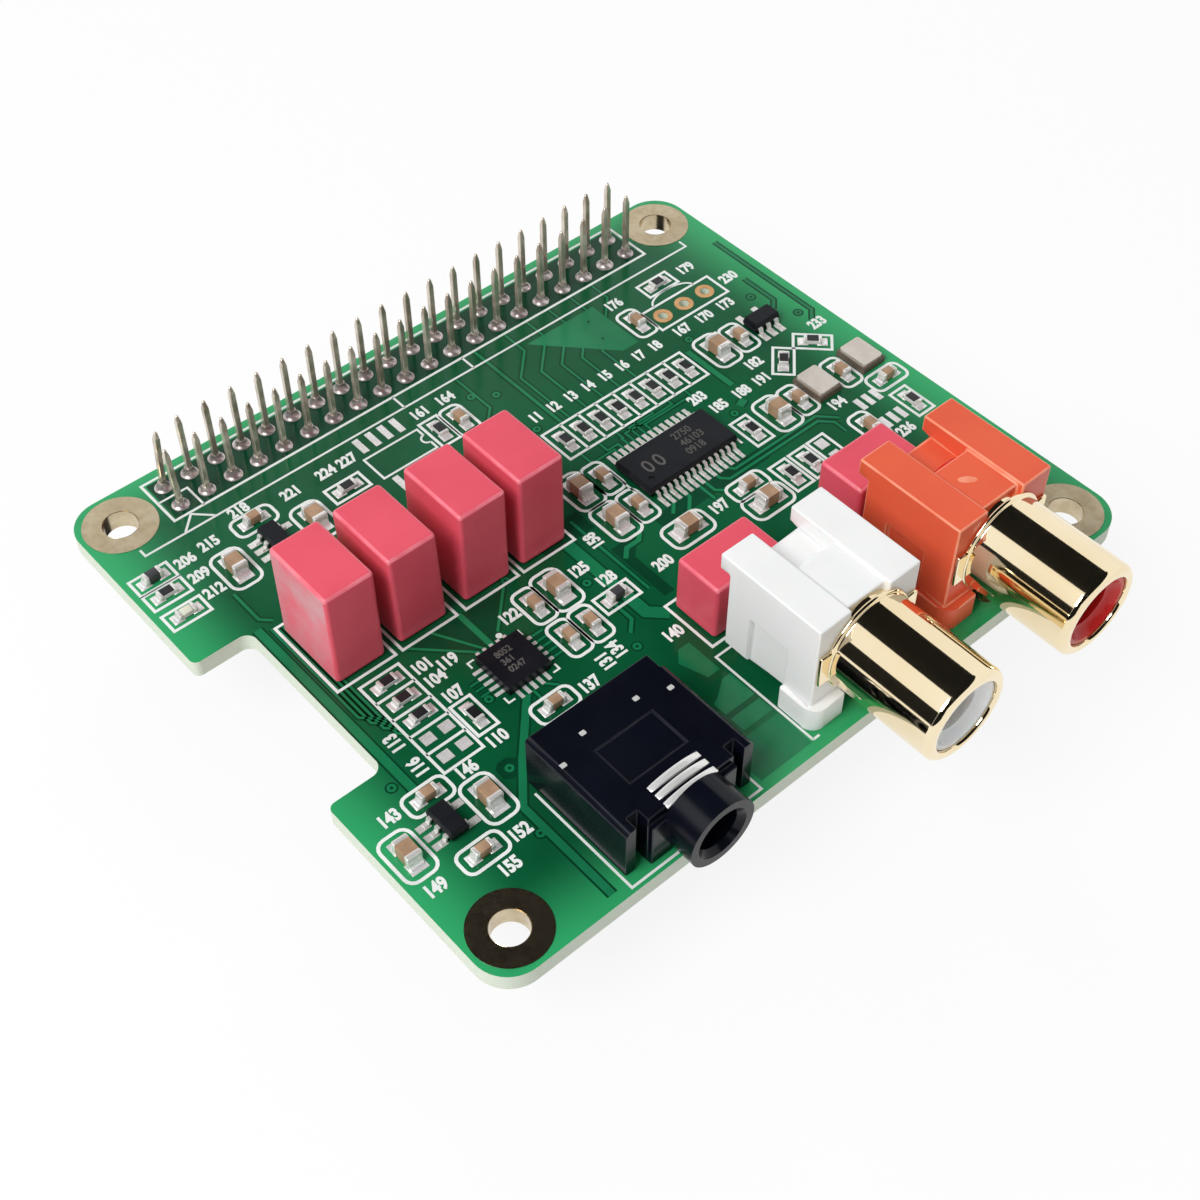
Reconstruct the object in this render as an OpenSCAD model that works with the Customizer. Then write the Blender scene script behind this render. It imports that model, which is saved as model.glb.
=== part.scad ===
// Audio add-on board: a 65 x 56 mm circuit board with a 2 x 20 stacking header, two phono sockets,
// a headphone socket, film capacitors and small surface-mounted parts.
// Origin: middle of the four mounting holes, on the board's underside. +X runs along the long side,
// +Y towards the header, +Z up. Places on the board are measured from its corner at -X, -Y.

/* [Board] */
// Length of the board, along X
board_l = 65; // [64:0.5:66]
// Width of the board, along Y
board_w = 56; // [55:0.5:57]
// Thickness of the board
board_t = 1.6; // [1.2:0.1:2]
// Radius of the board's corners
corner_r = 3; // [2:0.1:3.4]
// Distance of each mounting hole from the two nearest edges
hole_inset = 3.5; // [3.3:0.1:3.7]
// Diameter of the mounting holes
hole_d = 3; // [2.7:0.1:3.2]
// Outer diameter of the gold ring round each mounting hole
ring_d = 6.2; // [5.6:0.1:6.4]
// How far the flex-cable notch reaches in from the short edge
notch_depth = 5; // [4:0.5:5]
// Width of the flex-cable notch
notch_w = 17; // [16:0.5:17]

/* [Header] */
// Pins in each of the two rows
row_pins = 20; // [10:1:20]
// Distance between pins and between rows
pin_pitch = 2.54; // [2.5:0.01:2.54]
// Side of a square pin
pin_w = 0.64; // [0.5:0.02:0.64]
// Height of the pin tips above the board
pin_rise = 6.5; // [4:0.5:9]
// Height of the socket below the board
socket_h = 8.5; // [7:0.5:11]
// Distance of the header's middle from the back edge
header_inset = 3.5; // [3.5:0.1:3.6]

/* [Film capacitors] */
// Length of a film capacitor
film_l = 7.1; // [6.9:0.1:7.2]
// Width of a film capacitor
film_w = 4.5; // [4.2:0.1:4.5]
// Height of the four tall film capacitors
film_tall_h = 9.4; // [8:0.1:10]
// Height of the two low film capacitors
film_low_h = 5.5; // [5:0.1:7]
// Radius of a film capacitor's edges
film_edge_r = 0.35; // [0.2:0.05:0.5]

/* [Phono sockets] */
// Width of a socket's housing
phono_w = 10.2; // [10:0.1:10.4]
// Height of a socket's housing above the board
phono_h = 10.6; // [10.5:0.1:11]
// Height of the barrel's axis above the board
phono_axis_h = 6.25; // [6.2:0.05:6.3]
// Outer diameter of the gold barrel
barrel_d = 8; // [8:0.1:8.2]
// Length of the barrel in front of the housing
barrel_l = 9.7; // [9:0.1:10]
// Diameter of the centre contact's bore
centre_bore_d = 3.3; // [3.2:0.05:3.4]

/* [Headphone socket] */
// Width of the headphone socket
jack_w = 11.9; // [11.7:0.1:12]
// Depth of the headphone socket without its nose
jack_l = 10.6; // [10.4:0.1:10.8]
// Height of the headphone socket
jack_h = 5; // [5:0.1:5.2]
// Diameter of its round nose
nose_d = 5.9; // [5.8:0.1:6]
// How far the nose stands out in front
nose_l = 3.2; // [3:0.1:3.5]
// Diameter of the plug's bore
plug_bore_d = 3.6; // [3.55:0.05:3.7]

/* [Hidden] */

$fn = 48;
eps = 0.01; // overlap that lets a cut break through a face
land_t = 0.05; // thickness of the plated lands above the board

header_x = board_l / 2;
header_y = board_w - header_inset;
header_l = row_pins * pin_pitch;
drill_d = 1.02; // plated hole of a header pin
joint_h = 0.75; // height of a solder cone
joint_d = 1.75; // foot of a solder cone

film_lead_d = 0.6;
film_lead_pitch = 5;
film_lead_drill = 0.9;
tail_drop = 1.4; // how far wires and tags reach below the board

phono_front = 2.1; // housing front, from the board's connector edge
phono_back = 11;
phono_x = [35.6, 49.95]; // white socket, red socket
jack_x = 17.95;
jack_front = 1.35;
nose_z = nose_d / 2 + 0.05; // axis of the nose above the board

// Front left corner of each film capacitor, and whether it is a tall one
film_places = [[7, 27.8, true], [12.9, 27.8, true], [19.15, 27.8, true], [24.85, 27.8, true],
    [31, 12.5, false], [46.4, 12.6, false]];

// Chip part places: middle of the part and its turn in degrees
large_caps = [[7.85, 42.5, 90], [15.55, 42.6, 90], [1.8, 12.5, 90], [9.05, 12.55, 90],
    [25.3, 24.2, 90], [33.55, 31, 90], [33.6, 26.65, 90], [53.8, 36, 90], [52.15, 26.9, 90],
    [37.35, 22.15, 0], [44.35, 20.15, 0]];
small_caps = [[31.45, 44, 90], [50.9, 43.3, 90], [56.4, 35.95, 90], [54.6, 26.9, 90],
    [59.85, 26.9, 90], [35.95, 30.9, 90], [36.05, 26.7, 90], [22.95, 24.1, 90],
    [22.9, 19.9, 90], [25.05, 19.9, 90], [56.8, 20.6, 90], [11.8, 45.8, 0], [5.9, 15.5, 0],
    [5.9, 9.3, 0], [17.95, 15.75, 0], [44.3, 22.4, 0], [62.4, 23.9, 0]];
resistor_row = [36.45, 36.15, 1.95, 8]; // first x, y, step and count of the row of eight
resistor_block = [9.85, 25.5, 2, 3]; // x, first y, step and count of the fitted block
single_resistors = [[12.85, 18.95, 90], [2.35, 43.8, 0], [19.6, 43.8, 0], [29.35, 44.1, 90],
    [55.85, 46, 0], [57.15, 31.2, 45], [60.85, 31.3, -45], [49.05, 26.85, 90],
    [47.85, 21, 90], [50.1, 21, 90], [61.85, 20.45, 90]];
resistors = concat(
    [for (i = [0 : resistor_row[3] - 1]) [resistor_row[0] + i * resistor_row[2], resistor_row[1], 90]],
    [for (i = [0 : resistor_block[3] - 1]) [resistor_block[0], resistor_block[1] - i * resistor_block[2], 0]],
    single_resistors);
beads = [[2.35, 45.8, 0], [28.35, 20.6, 0]];
lamp_place = [2.4, 41.15, 0];

// Lands that carry no part: for an eight-pin chip, a six-pin chip and three two-ended parts
empty_eight_x = [23.25, 24.55, 25.8, 27.05];
empty_eight_y = [41.4, 47];
empty_six_x = [58.2, 59.15, 60.1];
empty_six_y = [20.1, 23];
empty_pairs = [[9.85, 19.5, 0], [9.85, 17.45, 0], [52.3, 21, 90]];

// Length, width, height and end length of each chip part size
large_chip = [2, 1.25, 1.2, 0.45];
small_chip = [1.6, 0.8, 0.8, 0.35];
flat_chip = [1.6, 0.8, 0.45, 0.3];

converter_place = [42.15, 28.75, 0];
converter_leads_a_side = 14;
converter_pitch = 0.65;
converter_size = [9.7, 4.4, 1.1];
converter_span = 6.4;
converter_land = [0.36, 1.3];
converter_land_y = 3.1;
amplifier_place = [17.95, 20.6, 0];
amplifier_size = [4, 4, 0.85];
amplifier_lands_a_side = 5;
amplifier_pitch = 0.65;
amplifier_land = [0.8, 0.32];

regulator_size = [1.6, 2.9, 1.15];
regulator_span = 2.9;
regulator_pitch = 0.95;
regulator_land = [1.1, 0.6];
regulator_land_x = 1.45;
regulator_places = [[5.5, 12.7, 0], [11.85, 42.7, 0], [59.1, 36, 90]];

oscillator_size = [2.6, 3.3, 0.6];
oscillator_lid_h = 0.3;
oscillator_places = [[57, 27, 0], [62.4, 27.05, 0]];

jumper_places = [[53.3, 42.5], [55.85, 42.5], [58.4, 42.5]];
jumper_pad_d = 1.75;
jumper_drill = 0.9;

band_places = [1.45, 2.3, 3.1]; // silver bands of the headphone socket, from the board's edge
terminal_places = [[-5.35, 8.5], [-2.55, 9.7], [2.25, 9.5], [4.75, 8.6]];

// Moves children from board measures to the row's frame, on top of the board
module on_board(x, y, turn = 0)
    translate([x - board_l / 2, y - board_w / 2, board_t]) rotate([0, 0, turn]) children();

module place_all(places)
    for (p = places) on_board(p[0], p[1], p[2]) children();

// Box centred in X and Y that stands on Z = 0
module block(size)
    translate([-size[0] / 2, -size[1] / 2, 0]) cube(size);

module rounded_rectangle(l, w, r) {
    square([l - 2 * r, w], center = true);
    square([l, w - 2 * r], center = true);
    for (sx = [-1, 1], sy = [-1, 1]) translate([sx * (l / 2 - r), sy * (w / 2 - r)]) circle(r);
}

// Corner filler: what a convex corner of radius r leaves uncovered
module corner_trim(r)
    difference() {
        translate([-eps, -eps]) square(r + eps);
        translate([r, r]) circle(r);
    }

// Circuit board

module notch_outline() {
    inner_r = 1;
    outer_r = 0.6;
    translate([-board_l / 2, 0]) {
        translate([-inner_r, -notch_w / 2]) square([notch_depth, notch_w]);
        translate([-inner_r, -notch_w / 2 + inner_r]) square([notch_depth + inner_r, notch_w - 2 * inner_r]);
        for (s = [-1, 1]) translate([notch_depth - inner_r, s * (notch_w / 2 - inner_r)]) circle(inner_r);
        for (s = [-1, 1]) translate([0, s * notch_w / 2]) scale([1, s]) corner_trim(outer_r);
    }
}

module board_outline()
    difference() {
        rounded_rectangle(board_l, board_w, corner_r);
        notch_outline();
    }

module at_mounting_holes()
    for (sx = [-1, 1], sy = [-1, 1])
        translate([sx * (board_l / 2 - hole_inset), sy * (board_w / 2 - hole_inset), 0]) children();

// Children at each header pin of one row: side -1 is the row nearer the connectors
module at_row(side)
    for (i = [0 : row_pins - 1])
        on_board(header_x + (i - (row_pins - 1) / 2) * pin_pitch, header_y + side * pin_pitch / 2) children();

module at_film_leads()
    for (p = film_places) {
        along = p[2] ? [0, 1] : [1, 0];
        middle = [p[0], p[1]] + (p[2] ? [film_w, film_l] : [film_l, film_w]) / 2;
        for (s = [-1, 1])
            on_board(middle[0] + s * along[0] * film_lead_pitch / 2,
                middle[1] + s * along[1] * film_lead_pitch / 2) children();
    }

module drill(d)
    translate([0, 0, -board_t - eps]) cylinder(h = board_t + 2 * eps, d = d);

module circuit_board()
    color("seagreen") difference() {
        linear_extrude(board_t) board_outline();
        at_mounting_holes() translate([0, 0, -eps]) cylinder(h = board_t + 2 * eps, d = hole_d);
        for (side = [-1, 1]) at_row(side) drill(drill_d);
        at_film_leads() drill(film_lead_drill);
        for (p = jumper_places) on_board(p[0], p[1]) drill(jumper_drill);
        for (x = phono_x) phono_drills(x);
        for (t = terminal_places) on_board(jack_x + t[0], t[1]) drill(terminal_drill);
        on_board(jack_x, jack_front + jack_peg_y) for (s = [-1, 1])
            translate([s * jack_peg_x, 0, 0]) drill(peg_d);
    }

module flat_ring(outer_d, inner_d)
    linear_extrude(land_t) difference() {
        circle(d = outer_d);
        circle(d = inner_d);
    }

module mounting_rings()
    color("darkkhaki") at_mounting_holes() {
        translate([0, 0, board_t]) flat_ring(ring_d, hole_d);
        translate([0, 0, -land_t]) flat_ring(ring_d, hole_d);
    }

module jumper_pads()
    color("goldenrod") for (p = jumper_places) on_board(p[0], p[1]) {
        flat_ring(jumper_pad_d, jumper_drill);
        translate([0, 0, -board_t - land_t]) flat_ring(jumper_pad_d, jumper_drill);
    }

// Two lands that a two-ended part would sit on, in its own direction
module land_pair(apart, l, w)
    for (s = [-1, 1]) translate([s * apart / 2, 0, 0]) block([l, w, land_t]);

module solder_lands()
    color("silver") {
        for (x = empty_eight_x, y = empty_eight_y) on_board(x, y) block([0.6, 1.8, land_t]);
        for (x = empty_six_x, y = empty_six_y) on_board(x, y) block([0.55, 1.4, land_t]);
        place_all(empty_pairs) land_pair(1.7, 1.05, 0.95);
        place_all([amplifier_place]) for (turn = [0, 90, 180, 270], i = [0 : amplifier_lands_a_side - 1])
            rotate([0, 0, turn]) translate([amplifier_size[0] / 2 + amplifier_land[0] / 2,
                (i - (amplifier_lands_a_side - 1) / 2) * amplifier_pitch, 0])
                    block([amplifier_land[0], amplifier_land[1], land_t]);
    }

// Header

spring_gap = 0.7; // free space between the two leaves of a socket contact
spring_leaf = 0.15;
spring_l = 5.5;
cavity_w = 1.2;
cavity_roof = 1.4; // socket material left above a cavity

module header_socket()
    color("dimgray") difference() {
        on_board(header_x, header_y) translate([0, 0, -board_t - socket_h])
            block([header_l + 0.4, 2 * pin_pitch, socket_h]);
        for (side = [-1, 1]) at_row(side) translate([0, 0, -board_t - socket_h]) {
            translate([0, 0, -eps]) block([cavity_w, cavity_w, socket_h - cavity_roof + eps]);
            block([pin_w, pin_w, socket_h + eps]);
        }
    }

// Pin through the board, with the two spring leaves of its socket contact below
module header_pin() {
    tip_h = 0.8;
    top = pin_rise - tip_h;
    bottom = -board_t - cavity_roof;
    translate([0, 0, bottom]) block([pin_w, pin_w, top - bottom]);
    translate([0, 0, top]) rotate([0, 0, 45])
        cylinder(h = tip_h, d1 = pin_w * sqrt(2), d2 = 0.3, $fn = 4);
    translate([0, 0, bottom - 0.5]) block([spring_gap + 2 * spring_leaf, pin_w, 0.5]);
    for (s = [-1, 1]) translate([s * (spring_gap + spring_leaf) / 2, 0, bottom - 0.5 - spring_l])
        block([spring_leaf, pin_w, spring_l]);
}

module header_pins_near() color("gainsboro") at_row(-1) header_pin();
module header_pins_far() color("gainsboro") at_row(1) header_pin();

// Solder cone above the board round a square pin, and the filling of its plated hole
module header_joint()
    difference() {
        union() {
            cylinder(h = joint_h, d1 = joint_d, d2 = 0.95);
            translate([0, 0, -board_t]) cylinder(h = board_t, d = drill_d);
        }
        translate([0, 0, -board_t - eps]) block([pin_w, pin_w, board_t + joint_h + 2 * eps]);
    }

// Solder cone below the board round a wire
module wire_joint(wire_d)
    translate([0, 0, -board_t]) mirror([0, 0, 1]) difference() {
        cylinder(h = joint_h, d1 = 1.9, d2 = wire_d + 0.2);
        translate([0, 0, -eps]) cylinder(h = joint_h + 2 * eps, d = wire_d);
    }

module solder_joints()
    color("lightgray") {
        for (side = [-1, 1]) at_row(side) header_joint();
        at_film_leads() wire_joint(film_lead_d);
    }

// Film capacitors

// Box with its edges rounded to radius r in steps of 30 degrees
module rounded_box(size, r)
    hull() for (a = [0 : 30 : 90]) {
        inset = r * (1 - cos(a));
        drop = r * (1 - sin(a));
        translate([0, 0, drop]) linear_extrude(size[2] - 2 * drop)
            rounded_rectangle(size[0] - 2 * inset, size[1] - 2 * inset, max(r - inset, 0.04), $fn = 24);
    }

module film_capacitor(index) {
    p = film_places[index - 1];
    size = p[2] ? [film_w, film_l, film_tall_h] : [film_l, film_w, film_low_h];
    color("indianred") on_board(p[0] + size[0] / 2, p[1] + size[1] / 2) rounded_box(size, film_edge_r);
}

module film_capacitor_leads()
    color("silver") at_film_leads() translate([0, 0, -board_t - tail_drop])
        cylinder(h = board_t + tail_drop, d = film_lead_d);

// Phono sockets, drawn round X = 0 with Y from the board's connector edge

rail_w = 3.15; // the two ribs along the top of a phono housing
rail_overhang = 1; // how far the ribs reach behind the housing
rail_h = 1.5;
front_drop = 1.2; // step between the ribs at the very front, below their tops
saddle_drop = 0.3; // floor between the ribs
saddle_front = 2.7;
pocket_front = 7.6; // deeper pocket behind the floor
pocket_drop = 1.55;
skirt_z = 1.6; // lower edge of the housing's walls
waist_z = 6.2; // top of the shallow recess in each side
waist_inset = 0.4;
waist_l = 3.7;
foot_size = [3.2, 3.6, 2.3];
foot_front = 1.3;
foot_out = 5.5; // outer face of a foot
foot_r = 1.2;
rear_foot_w = 6;
rear_foot_front = 8.2;
peg_d = 1.5;
peg_y = 3.2;
peg_x = 4;
contact_y = 9.4; // tail of the centre contact
tail_w = 1.4;
tail_t = 0.4;
tail_drill = 1.6;
rod_d = 1.4; // rod that joins the contact's sleeve to its tail

shell_wall = 0.42;
rim_r = 0.6; // rolled edge at the barrel's mouth
lip_w = 0.3; // how far the rolled edge's flat lip reaches inwards
spigot_wall = 0.2; // thinner end of the shell, from its collar into the housing
spigot_l = 2.2;
collar_d = 8.5;
collar_t = 0.35;
wing_out = 4.95; // outer face of the collar's two side wings
wing_z = [4.8, 7.8];
barrel_tip = phono_front - barrel_l;
tag_y = phono_front - tail_t / 2; // tail of the ground tag

insulator_d = barrel_d - 2 * shell_wall - 0.02;
insulator_back = 8;
insulator_front = barrel_tip + rim_r + 2 * eps; // where its full width ends
boss_front = barrel_tip + 0.3; // narrower face inside the barrel's lip
boss_d = barrel_d - 2 * rim_r - 2 * lip_w - 0.04;
dish_d = 4.6;
dish_h = 0.35;
sleeve_d = centre_bore_d + 0.5;
sleeve_front = boss_front + 2.4;
sleeve_back = insulator_back - 2;
sleeve_floor = 0.5;

module phono_drills(x)
    on_board(x, 0) {
        for (s = [-1, 1]) translate([s * peg_x, peg_y, 0]) drill(peg_d);
        translate([0, contact_y, 0]) drill(tail_drill);
        translate([0, tag_y, 0]) drill(tail_drill);
    }

// Children stand on a plane across the barrel at y and point to the front
module along_barrel(y)
    translate([0, y, phono_axis_h]) rotate([90, 0, 0]) children();

module phono_foot() {
    inner = foot_out - foot_size[0];
    translate([inner, foot_front, 0]) linear_extrude(foot_size[2]) {
        translate([0, foot_r]) square([foot_size[0], foot_size[1] - foot_r]);
        square([foot_size[0] - foot_r, foot_r + eps]);
        translate([foot_size[0] - foot_r, foot_r]) circle(foot_r);
    }
    translate([peg_x, peg_y, -board_t]) cylinder(h = board_t + eps, d = peg_d);
}

module phono_walls() {
    half = phono_w / 2;
    difference() {
        translate([-half, phono_front, skirt_z])
            cube([phono_w, phono_back - phono_front, phono_h - skirt_z]);
        for (s = [0, 1]) mirror([s, 0, 0])
            translate([half - waist_inset, foot_front + foot_size[1], skirt_z - eps])
                cube([waist_inset + eps, waist_l, waist_z - skirt_z]);
    }
}

module phono_housing(x, tint) {
    half = phono_w / 2;
    gap = phono_w - 2 * rail_w;
    color(tint) on_board(x, 0) difference() {
        union() {
            phono_walls();
            for (s = [0, 1]) mirror([s, 0, 0]) {
                translate([half - rail_w, phono_front, phono_h - rail_h])
                    cube([rail_w, phono_back + rail_overhang - phono_front, rail_h]);
                phono_foot();
            }
            translate([-rear_foot_w / 2, rear_foot_front, 0])
                cube([rear_foot_w, phono_back - 0.2 - rear_foot_front, skirt_z + eps]);
        }
        // step in front of the saddle, the saddle between the ribs, and the pocket behind it
        translate([-gap / 2, phono_front - eps, phono_h - front_drop])
            cube([gap, saddle_front - phono_front + eps, front_drop + eps]);
        translate([-gap / 2, saddle_front - eps, phono_h - saddle_drop])
            cube([gap, pocket_front - saddle_front + eps, saddle_drop + eps]);
        translate([-gap / 2, pocket_front, phono_h - pocket_drop])
            cube([gap, phono_back, pocket_drop + eps]);
        // seats of the shell, the insulator and the contact
        along_barrel(saddle_front + spigot_l)
            cylinder(h = phono_front + spigot_l, d = insulator_d + 2 * spigot_wall);
        along_barrel(insulator_back) cylinder(h = insulator_back, d = insulator_d);
        along_barrel(contact_y) cylinder(h = contact_y, d = rod_d);
        translate([-tail_w / 2, contact_y - tail_t / 2, -eps])
            cube([tail_w, tail_t, phono_axis_h + rod_d / 2 + eps]);
    }
}

// Half profile of the barrel: across the axis in X, towards the mouth in Y
module shell_profile() {
    outer = barrel_d / 2;
    inner = insulator_d / 2;
    length = saddle_front - barrel_tip;
    collar_at = saddle_front - phono_front;
    square_from(inner, -spigot_l, inner + spigot_wall, collar_at + eps);
    square_from(inner, collar_at, collar_d / 2, collar_at + collar_t);
    square_from(inner, collar_at, outer, length - rim_r);
    square_from(outer - rim_r - lip_w, length - 0.4, outer - rim_r + eps, length);
    intersection() {
        translate([outer - rim_r, length - rim_r]) circle(rim_r);
        square_from(outer - rim_r, length - rim_r - eps, outer, length);
    }
}

module square_from(x1, y1, x2, y2)
    translate([x1, y1]) square([x2 - x1, y2 - y1]);

module phono_shell(x)
    color("khaki") on_board(x, 0) {
        along_barrel(saddle_front) rotate_extrude($fn = 64) shell_profile();
        difference() {
            translate([-wing_out, phono_front - collar_t, wing_z[0]])
                cube([2 * wing_out, collar_t, wing_z[1] - wing_z[0]]);
            along_barrel(phono_front + eps) cylinder(h = 1, d = insulator_d + 0.4, $fn = 64);
        }
    }

module phono_insulator(x, tint)
    color(tint) on_board(x, 0) difference() {
        union() {
            along_barrel(insulator_back) cylinder(h = insulator_back - insulator_front, d = insulator_d);
            along_barrel(insulator_back) cylinder(h = insulator_back - boss_front, d = boss_d);
        }
        along_barrel(boss_front + dish_h) cylinder(h = dish_h + eps, d1 = sleeve_d, d2 = dish_d);
        along_barrel(sleeve_back) cylinder(h = insulator_back - barrel_tip, d = sleeve_d);
        along_barrel(insulator_back + eps) cylinder(h = insulator_back, d = rod_d);
    }

// Contact sleeve that takes the plug's centre pin, and its tail through the board
module phono_contact(x)
    color("khaki") on_board(x, 0) {
        along_barrel(sleeve_back) difference() {
            cylinder(h = sleeve_back - sleeve_front, d = sleeve_d);
            translate([0, 0, sleeve_floor]) cylinder(h = sleeve_back - sleeve_front, d = centre_bore_d);
        }
        along_barrel(contact_y) cylinder(h = contact_y - sleeve_back + eps, d = rod_d);
        translate([-tail_w / 2, contact_y - tail_t / 2, -board_t - tail_drop])
            cube([tail_w, tail_t, phono_axis_h + rod_d / 2 + board_t + tail_drop]);
    }

// Flat tag from the shell's collar down through the board
module phono_ground_tag(x)
    color("khaki") on_board(x, 0) difference() {
        translate([-tail_w / 2, phono_front - tail_t, -board_t - tail_drop])
            cube([tail_w, tail_t, board_t + tail_drop + phono_axis_h - collar_d / 2 + 0.3]);
        along_barrel(phono_front + eps) cylinder(h = 2, d = collar_d);
    }

module white_phono_housing() phono_housing(phono_x[0], "white");
module white_phono_shell() phono_shell(phono_x[0]);
module white_phono_insulator() phono_insulator(phono_x[0], "white");
module white_phono_contact() phono_contact(phono_x[0]);
module white_phono_ground_tag() phono_ground_tag(phono_x[0]);
module red_phono_housing() phono_housing(phono_x[1], "tomato");
module red_phono_shell() phono_shell(phono_x[1]);
module red_phono_insulator() phono_insulator(phono_x[1], "firebrick");
module red_phono_contact() phono_contact(phono_x[1]);
module red_phono_ground_tag() phono_ground_tag(phono_x[1]);

// Headphone socket

terminal_w = 0.5;
terminal_t = 0.4;
terminal_drill = 0.8;
jack_peg_x = 3.5;
jack_peg_y = 2.6;
bore_depth = 13.4;
band_w = 0.55;
band_l = 4.7;
band_crown_r = 8.3; // the bands are slightly crowned
band_crown_h = 5.35; // top of their crown above the board
band_floor = nose_z + plug_bore_d / 2 + 0.04; // the bands stay clear of the plug's bore
snout_l = 0.45; // middle of the housing's front, proud of its two corner posts
snout_h = 4.25;
nose_back = 1.1; // the nose ends here above the housing's top, from the board's edge
mouth_l = 0.5; // flared entry of the bore
mouth_d = plug_bore_d + 0.9;
post_w = 0.95;
groove_w = 1;
groove_depth = 1.1;
panel_at = [-2.9, 4.4];
panel_size = [5.3, 3.6];
panel_depth = 0.12;
back_step = [0.45, 1.5];
leaf_y = 5;
leaf_size = [1, 3.6, 0.8];

module at_terminals()
    for (t = terminal_places) translate([t[0], t[1], 0]) children();

module along_nose(y)
    translate([0, y, nose_z]) rotate([90, 0, 0]) children();

module headphone_housing() {
    half = jack_w / 2;
    back = jack_front + jack_l;
    mouth = jack_front - nose_l;
    bevel = 0.35;
    color("#1d1f24") on_board(jack_x, 0) difference() {
        union() {
            translate([0, back, 0]) rotate([90, 0, 0]) linear_extrude(jack_l) polygon([
                [-half, 0], [half, 0], [half, jack_h - bevel], [half - bevel, jack_h],
                [-half + bevel, jack_h], [-half, jack_h - bevel]]);
            along_nose(nose_back) cylinder(h = nose_back - mouth, d = nose_d);
            translate([-half + 2, jack_front - snout_l, 0]) cube([jack_w - 4, snout_l + eps, snout_h]);
            for (s = [-1, 1]) translate([s * jack_peg_x, jack_front + jack_peg_y, -board_t])
                cylinder(h = board_t, d = peg_d);
        }
        along_nose(mouth + bore_depth) cylinder(h = bore_depth + eps, d = plug_bore_d);
        along_nose(mouth + mouth_l) cylinder(h = mouth_l + eps, d1 = plug_bore_d, d2 = mouth_d);
        // upright grooves beside the nose, leaving a post at each front corner
        for (s = [-1, 1]) translate([s * (half - post_w - groove_w / 2) - groove_w / 2, jack_front - eps, -eps])
            cube([groove_w, groove_depth, jack_h + 2 * eps]);
        // shallow panel on top and the step at the back right corner
        translate([panel_at[0], panel_at[1], jack_h - panel_depth]) cube([panel_size[0], panel_size[1], 1]);
        translate([half - back_step[0], back - back_step[1], -eps]) cube([1, 2, jack_h + 2 * eps]);
        at_terminals() translate([0, 0, -eps]) block([terminal_w, terminal_t, jack_h + 2 * eps]);
        jack_springs();
        for (y = band_places) band(y);
    }
}

// One silver band let into the housing's top, behind the nose
module band(y)
    intersection() {
        translate([0, y + band_w / 2, band_crown_h - band_crown_r]) rotate([90, 0, 0])
            cylinder(h = band_w, r = band_crown_r, $fn = 96);
        translate([-band_l / 2, 0, band_floor]) cube([band_l, jack_l, 2]);
    }

module headphone_bands()
    color("silver") on_board(jack_x, 0) for (y = band_places) band(y);

module headphone_terminals()
    color("silver") on_board(jack_x, 0) at_terminals() translate([0, 0, -board_t - tail_drop])
        block([terminal_w, terminal_t, jack_h + board_t + tail_drop]);

// Two leaf contacts set in the wall of the plug's bore
module jack_springs()
    difference() {
        for (s = [-1, 1]) translate([s * plug_bore_d / 2 - leaf_size[0] / 2, leaf_y, nose_z - leaf_size[2] / 2])
            cube(leaf_size);
        along_nose(jack_l) cylinder(h = jack_l, d = plug_bore_d);
    }

module headphone_springs()
    color("silver") on_board(jack_x, 0) jack_springs();

// Chips

// Bent lead that leaves a body side at +X, with its foot on the board
module bent_lead(body_half, span_half, rise, w) {
    t = 0.15;
    reach = span_half - body_half;
    knee = body_half + 0.3 * reach;
    heel = body_half + 0.5 * reach;
    translate([0, w / 2, 0]) rotate([90, 0, 0]) linear_extrude(w) polygon([
        [body_half, rise], [knee, rise], [heel, t + land_t], [span_half, t + land_t],
        [span_half, land_t], [heel - 0.1, land_t], [knee - 0.1, rise - t], [body_half, rise - t]]);
}

module side_leads(count, pitch, body_half, span_half, rise, w)
    for (i = [0 : count - 1]) translate([0, (i - (count - 1) / 2) * pitch, 0])
        bent_lead(body_half, span_half, rise, w);

// Moulded body with sides that lean in above and below the lead line
module chip_body(size, lift, waist) {
    lean = 0.12;
    translate([0, 0, lift]) hull() {
        block([size[0] - 2 * lean, size[1] - 2 * lean, size[2] - lift]);
        translate([0, 0, waist]) block([size[0], size[1], 0.15]);
    }
}

module converter_chip()
    color("#202126") place_all([converter_place]) difference() {
        chip_body(converter_size, 0.1, 0.4);
        translate([-converter_size[0] / 2 + 0.9, -converter_size[1] / 2 + 0.9, converter_size[2] - 0.08])
            cylinder(h = 0.2, d = 0.6);
    }

module converter_leads()
    color("silver") place_all([converter_place]) {
        for (turn = [90, 270]) rotate([0, 0, turn])
            side_leads(converter_leads_a_side, converter_pitch, converter_size[1] / 2,
                converter_span / 2, 0.6, 0.24);
        for (s = [-1, 1], i = [0 : converter_leads_a_side - 1])
            translate([(i - (converter_leads_a_side - 1) / 2) * converter_pitch, s * converter_land_y, 0])
                block([converter_land[0], converter_land[1], land_t]);
    }

module amplifier_chip()
    color("#202126") place_all([amplifier_place]) difference() {
        translate([0, 0, land_t]) block(amplifier_size);
        translate([1.5, 1.5, amplifier_size[2] + land_t - 0.06]) cylinder(h = 0.2, d = 0.45);
    }

module regulator(index)
    color("#202126") place_all([regulator_places[index - 1]]) chip_body(regulator_size, 0.1, 0.45);

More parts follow.
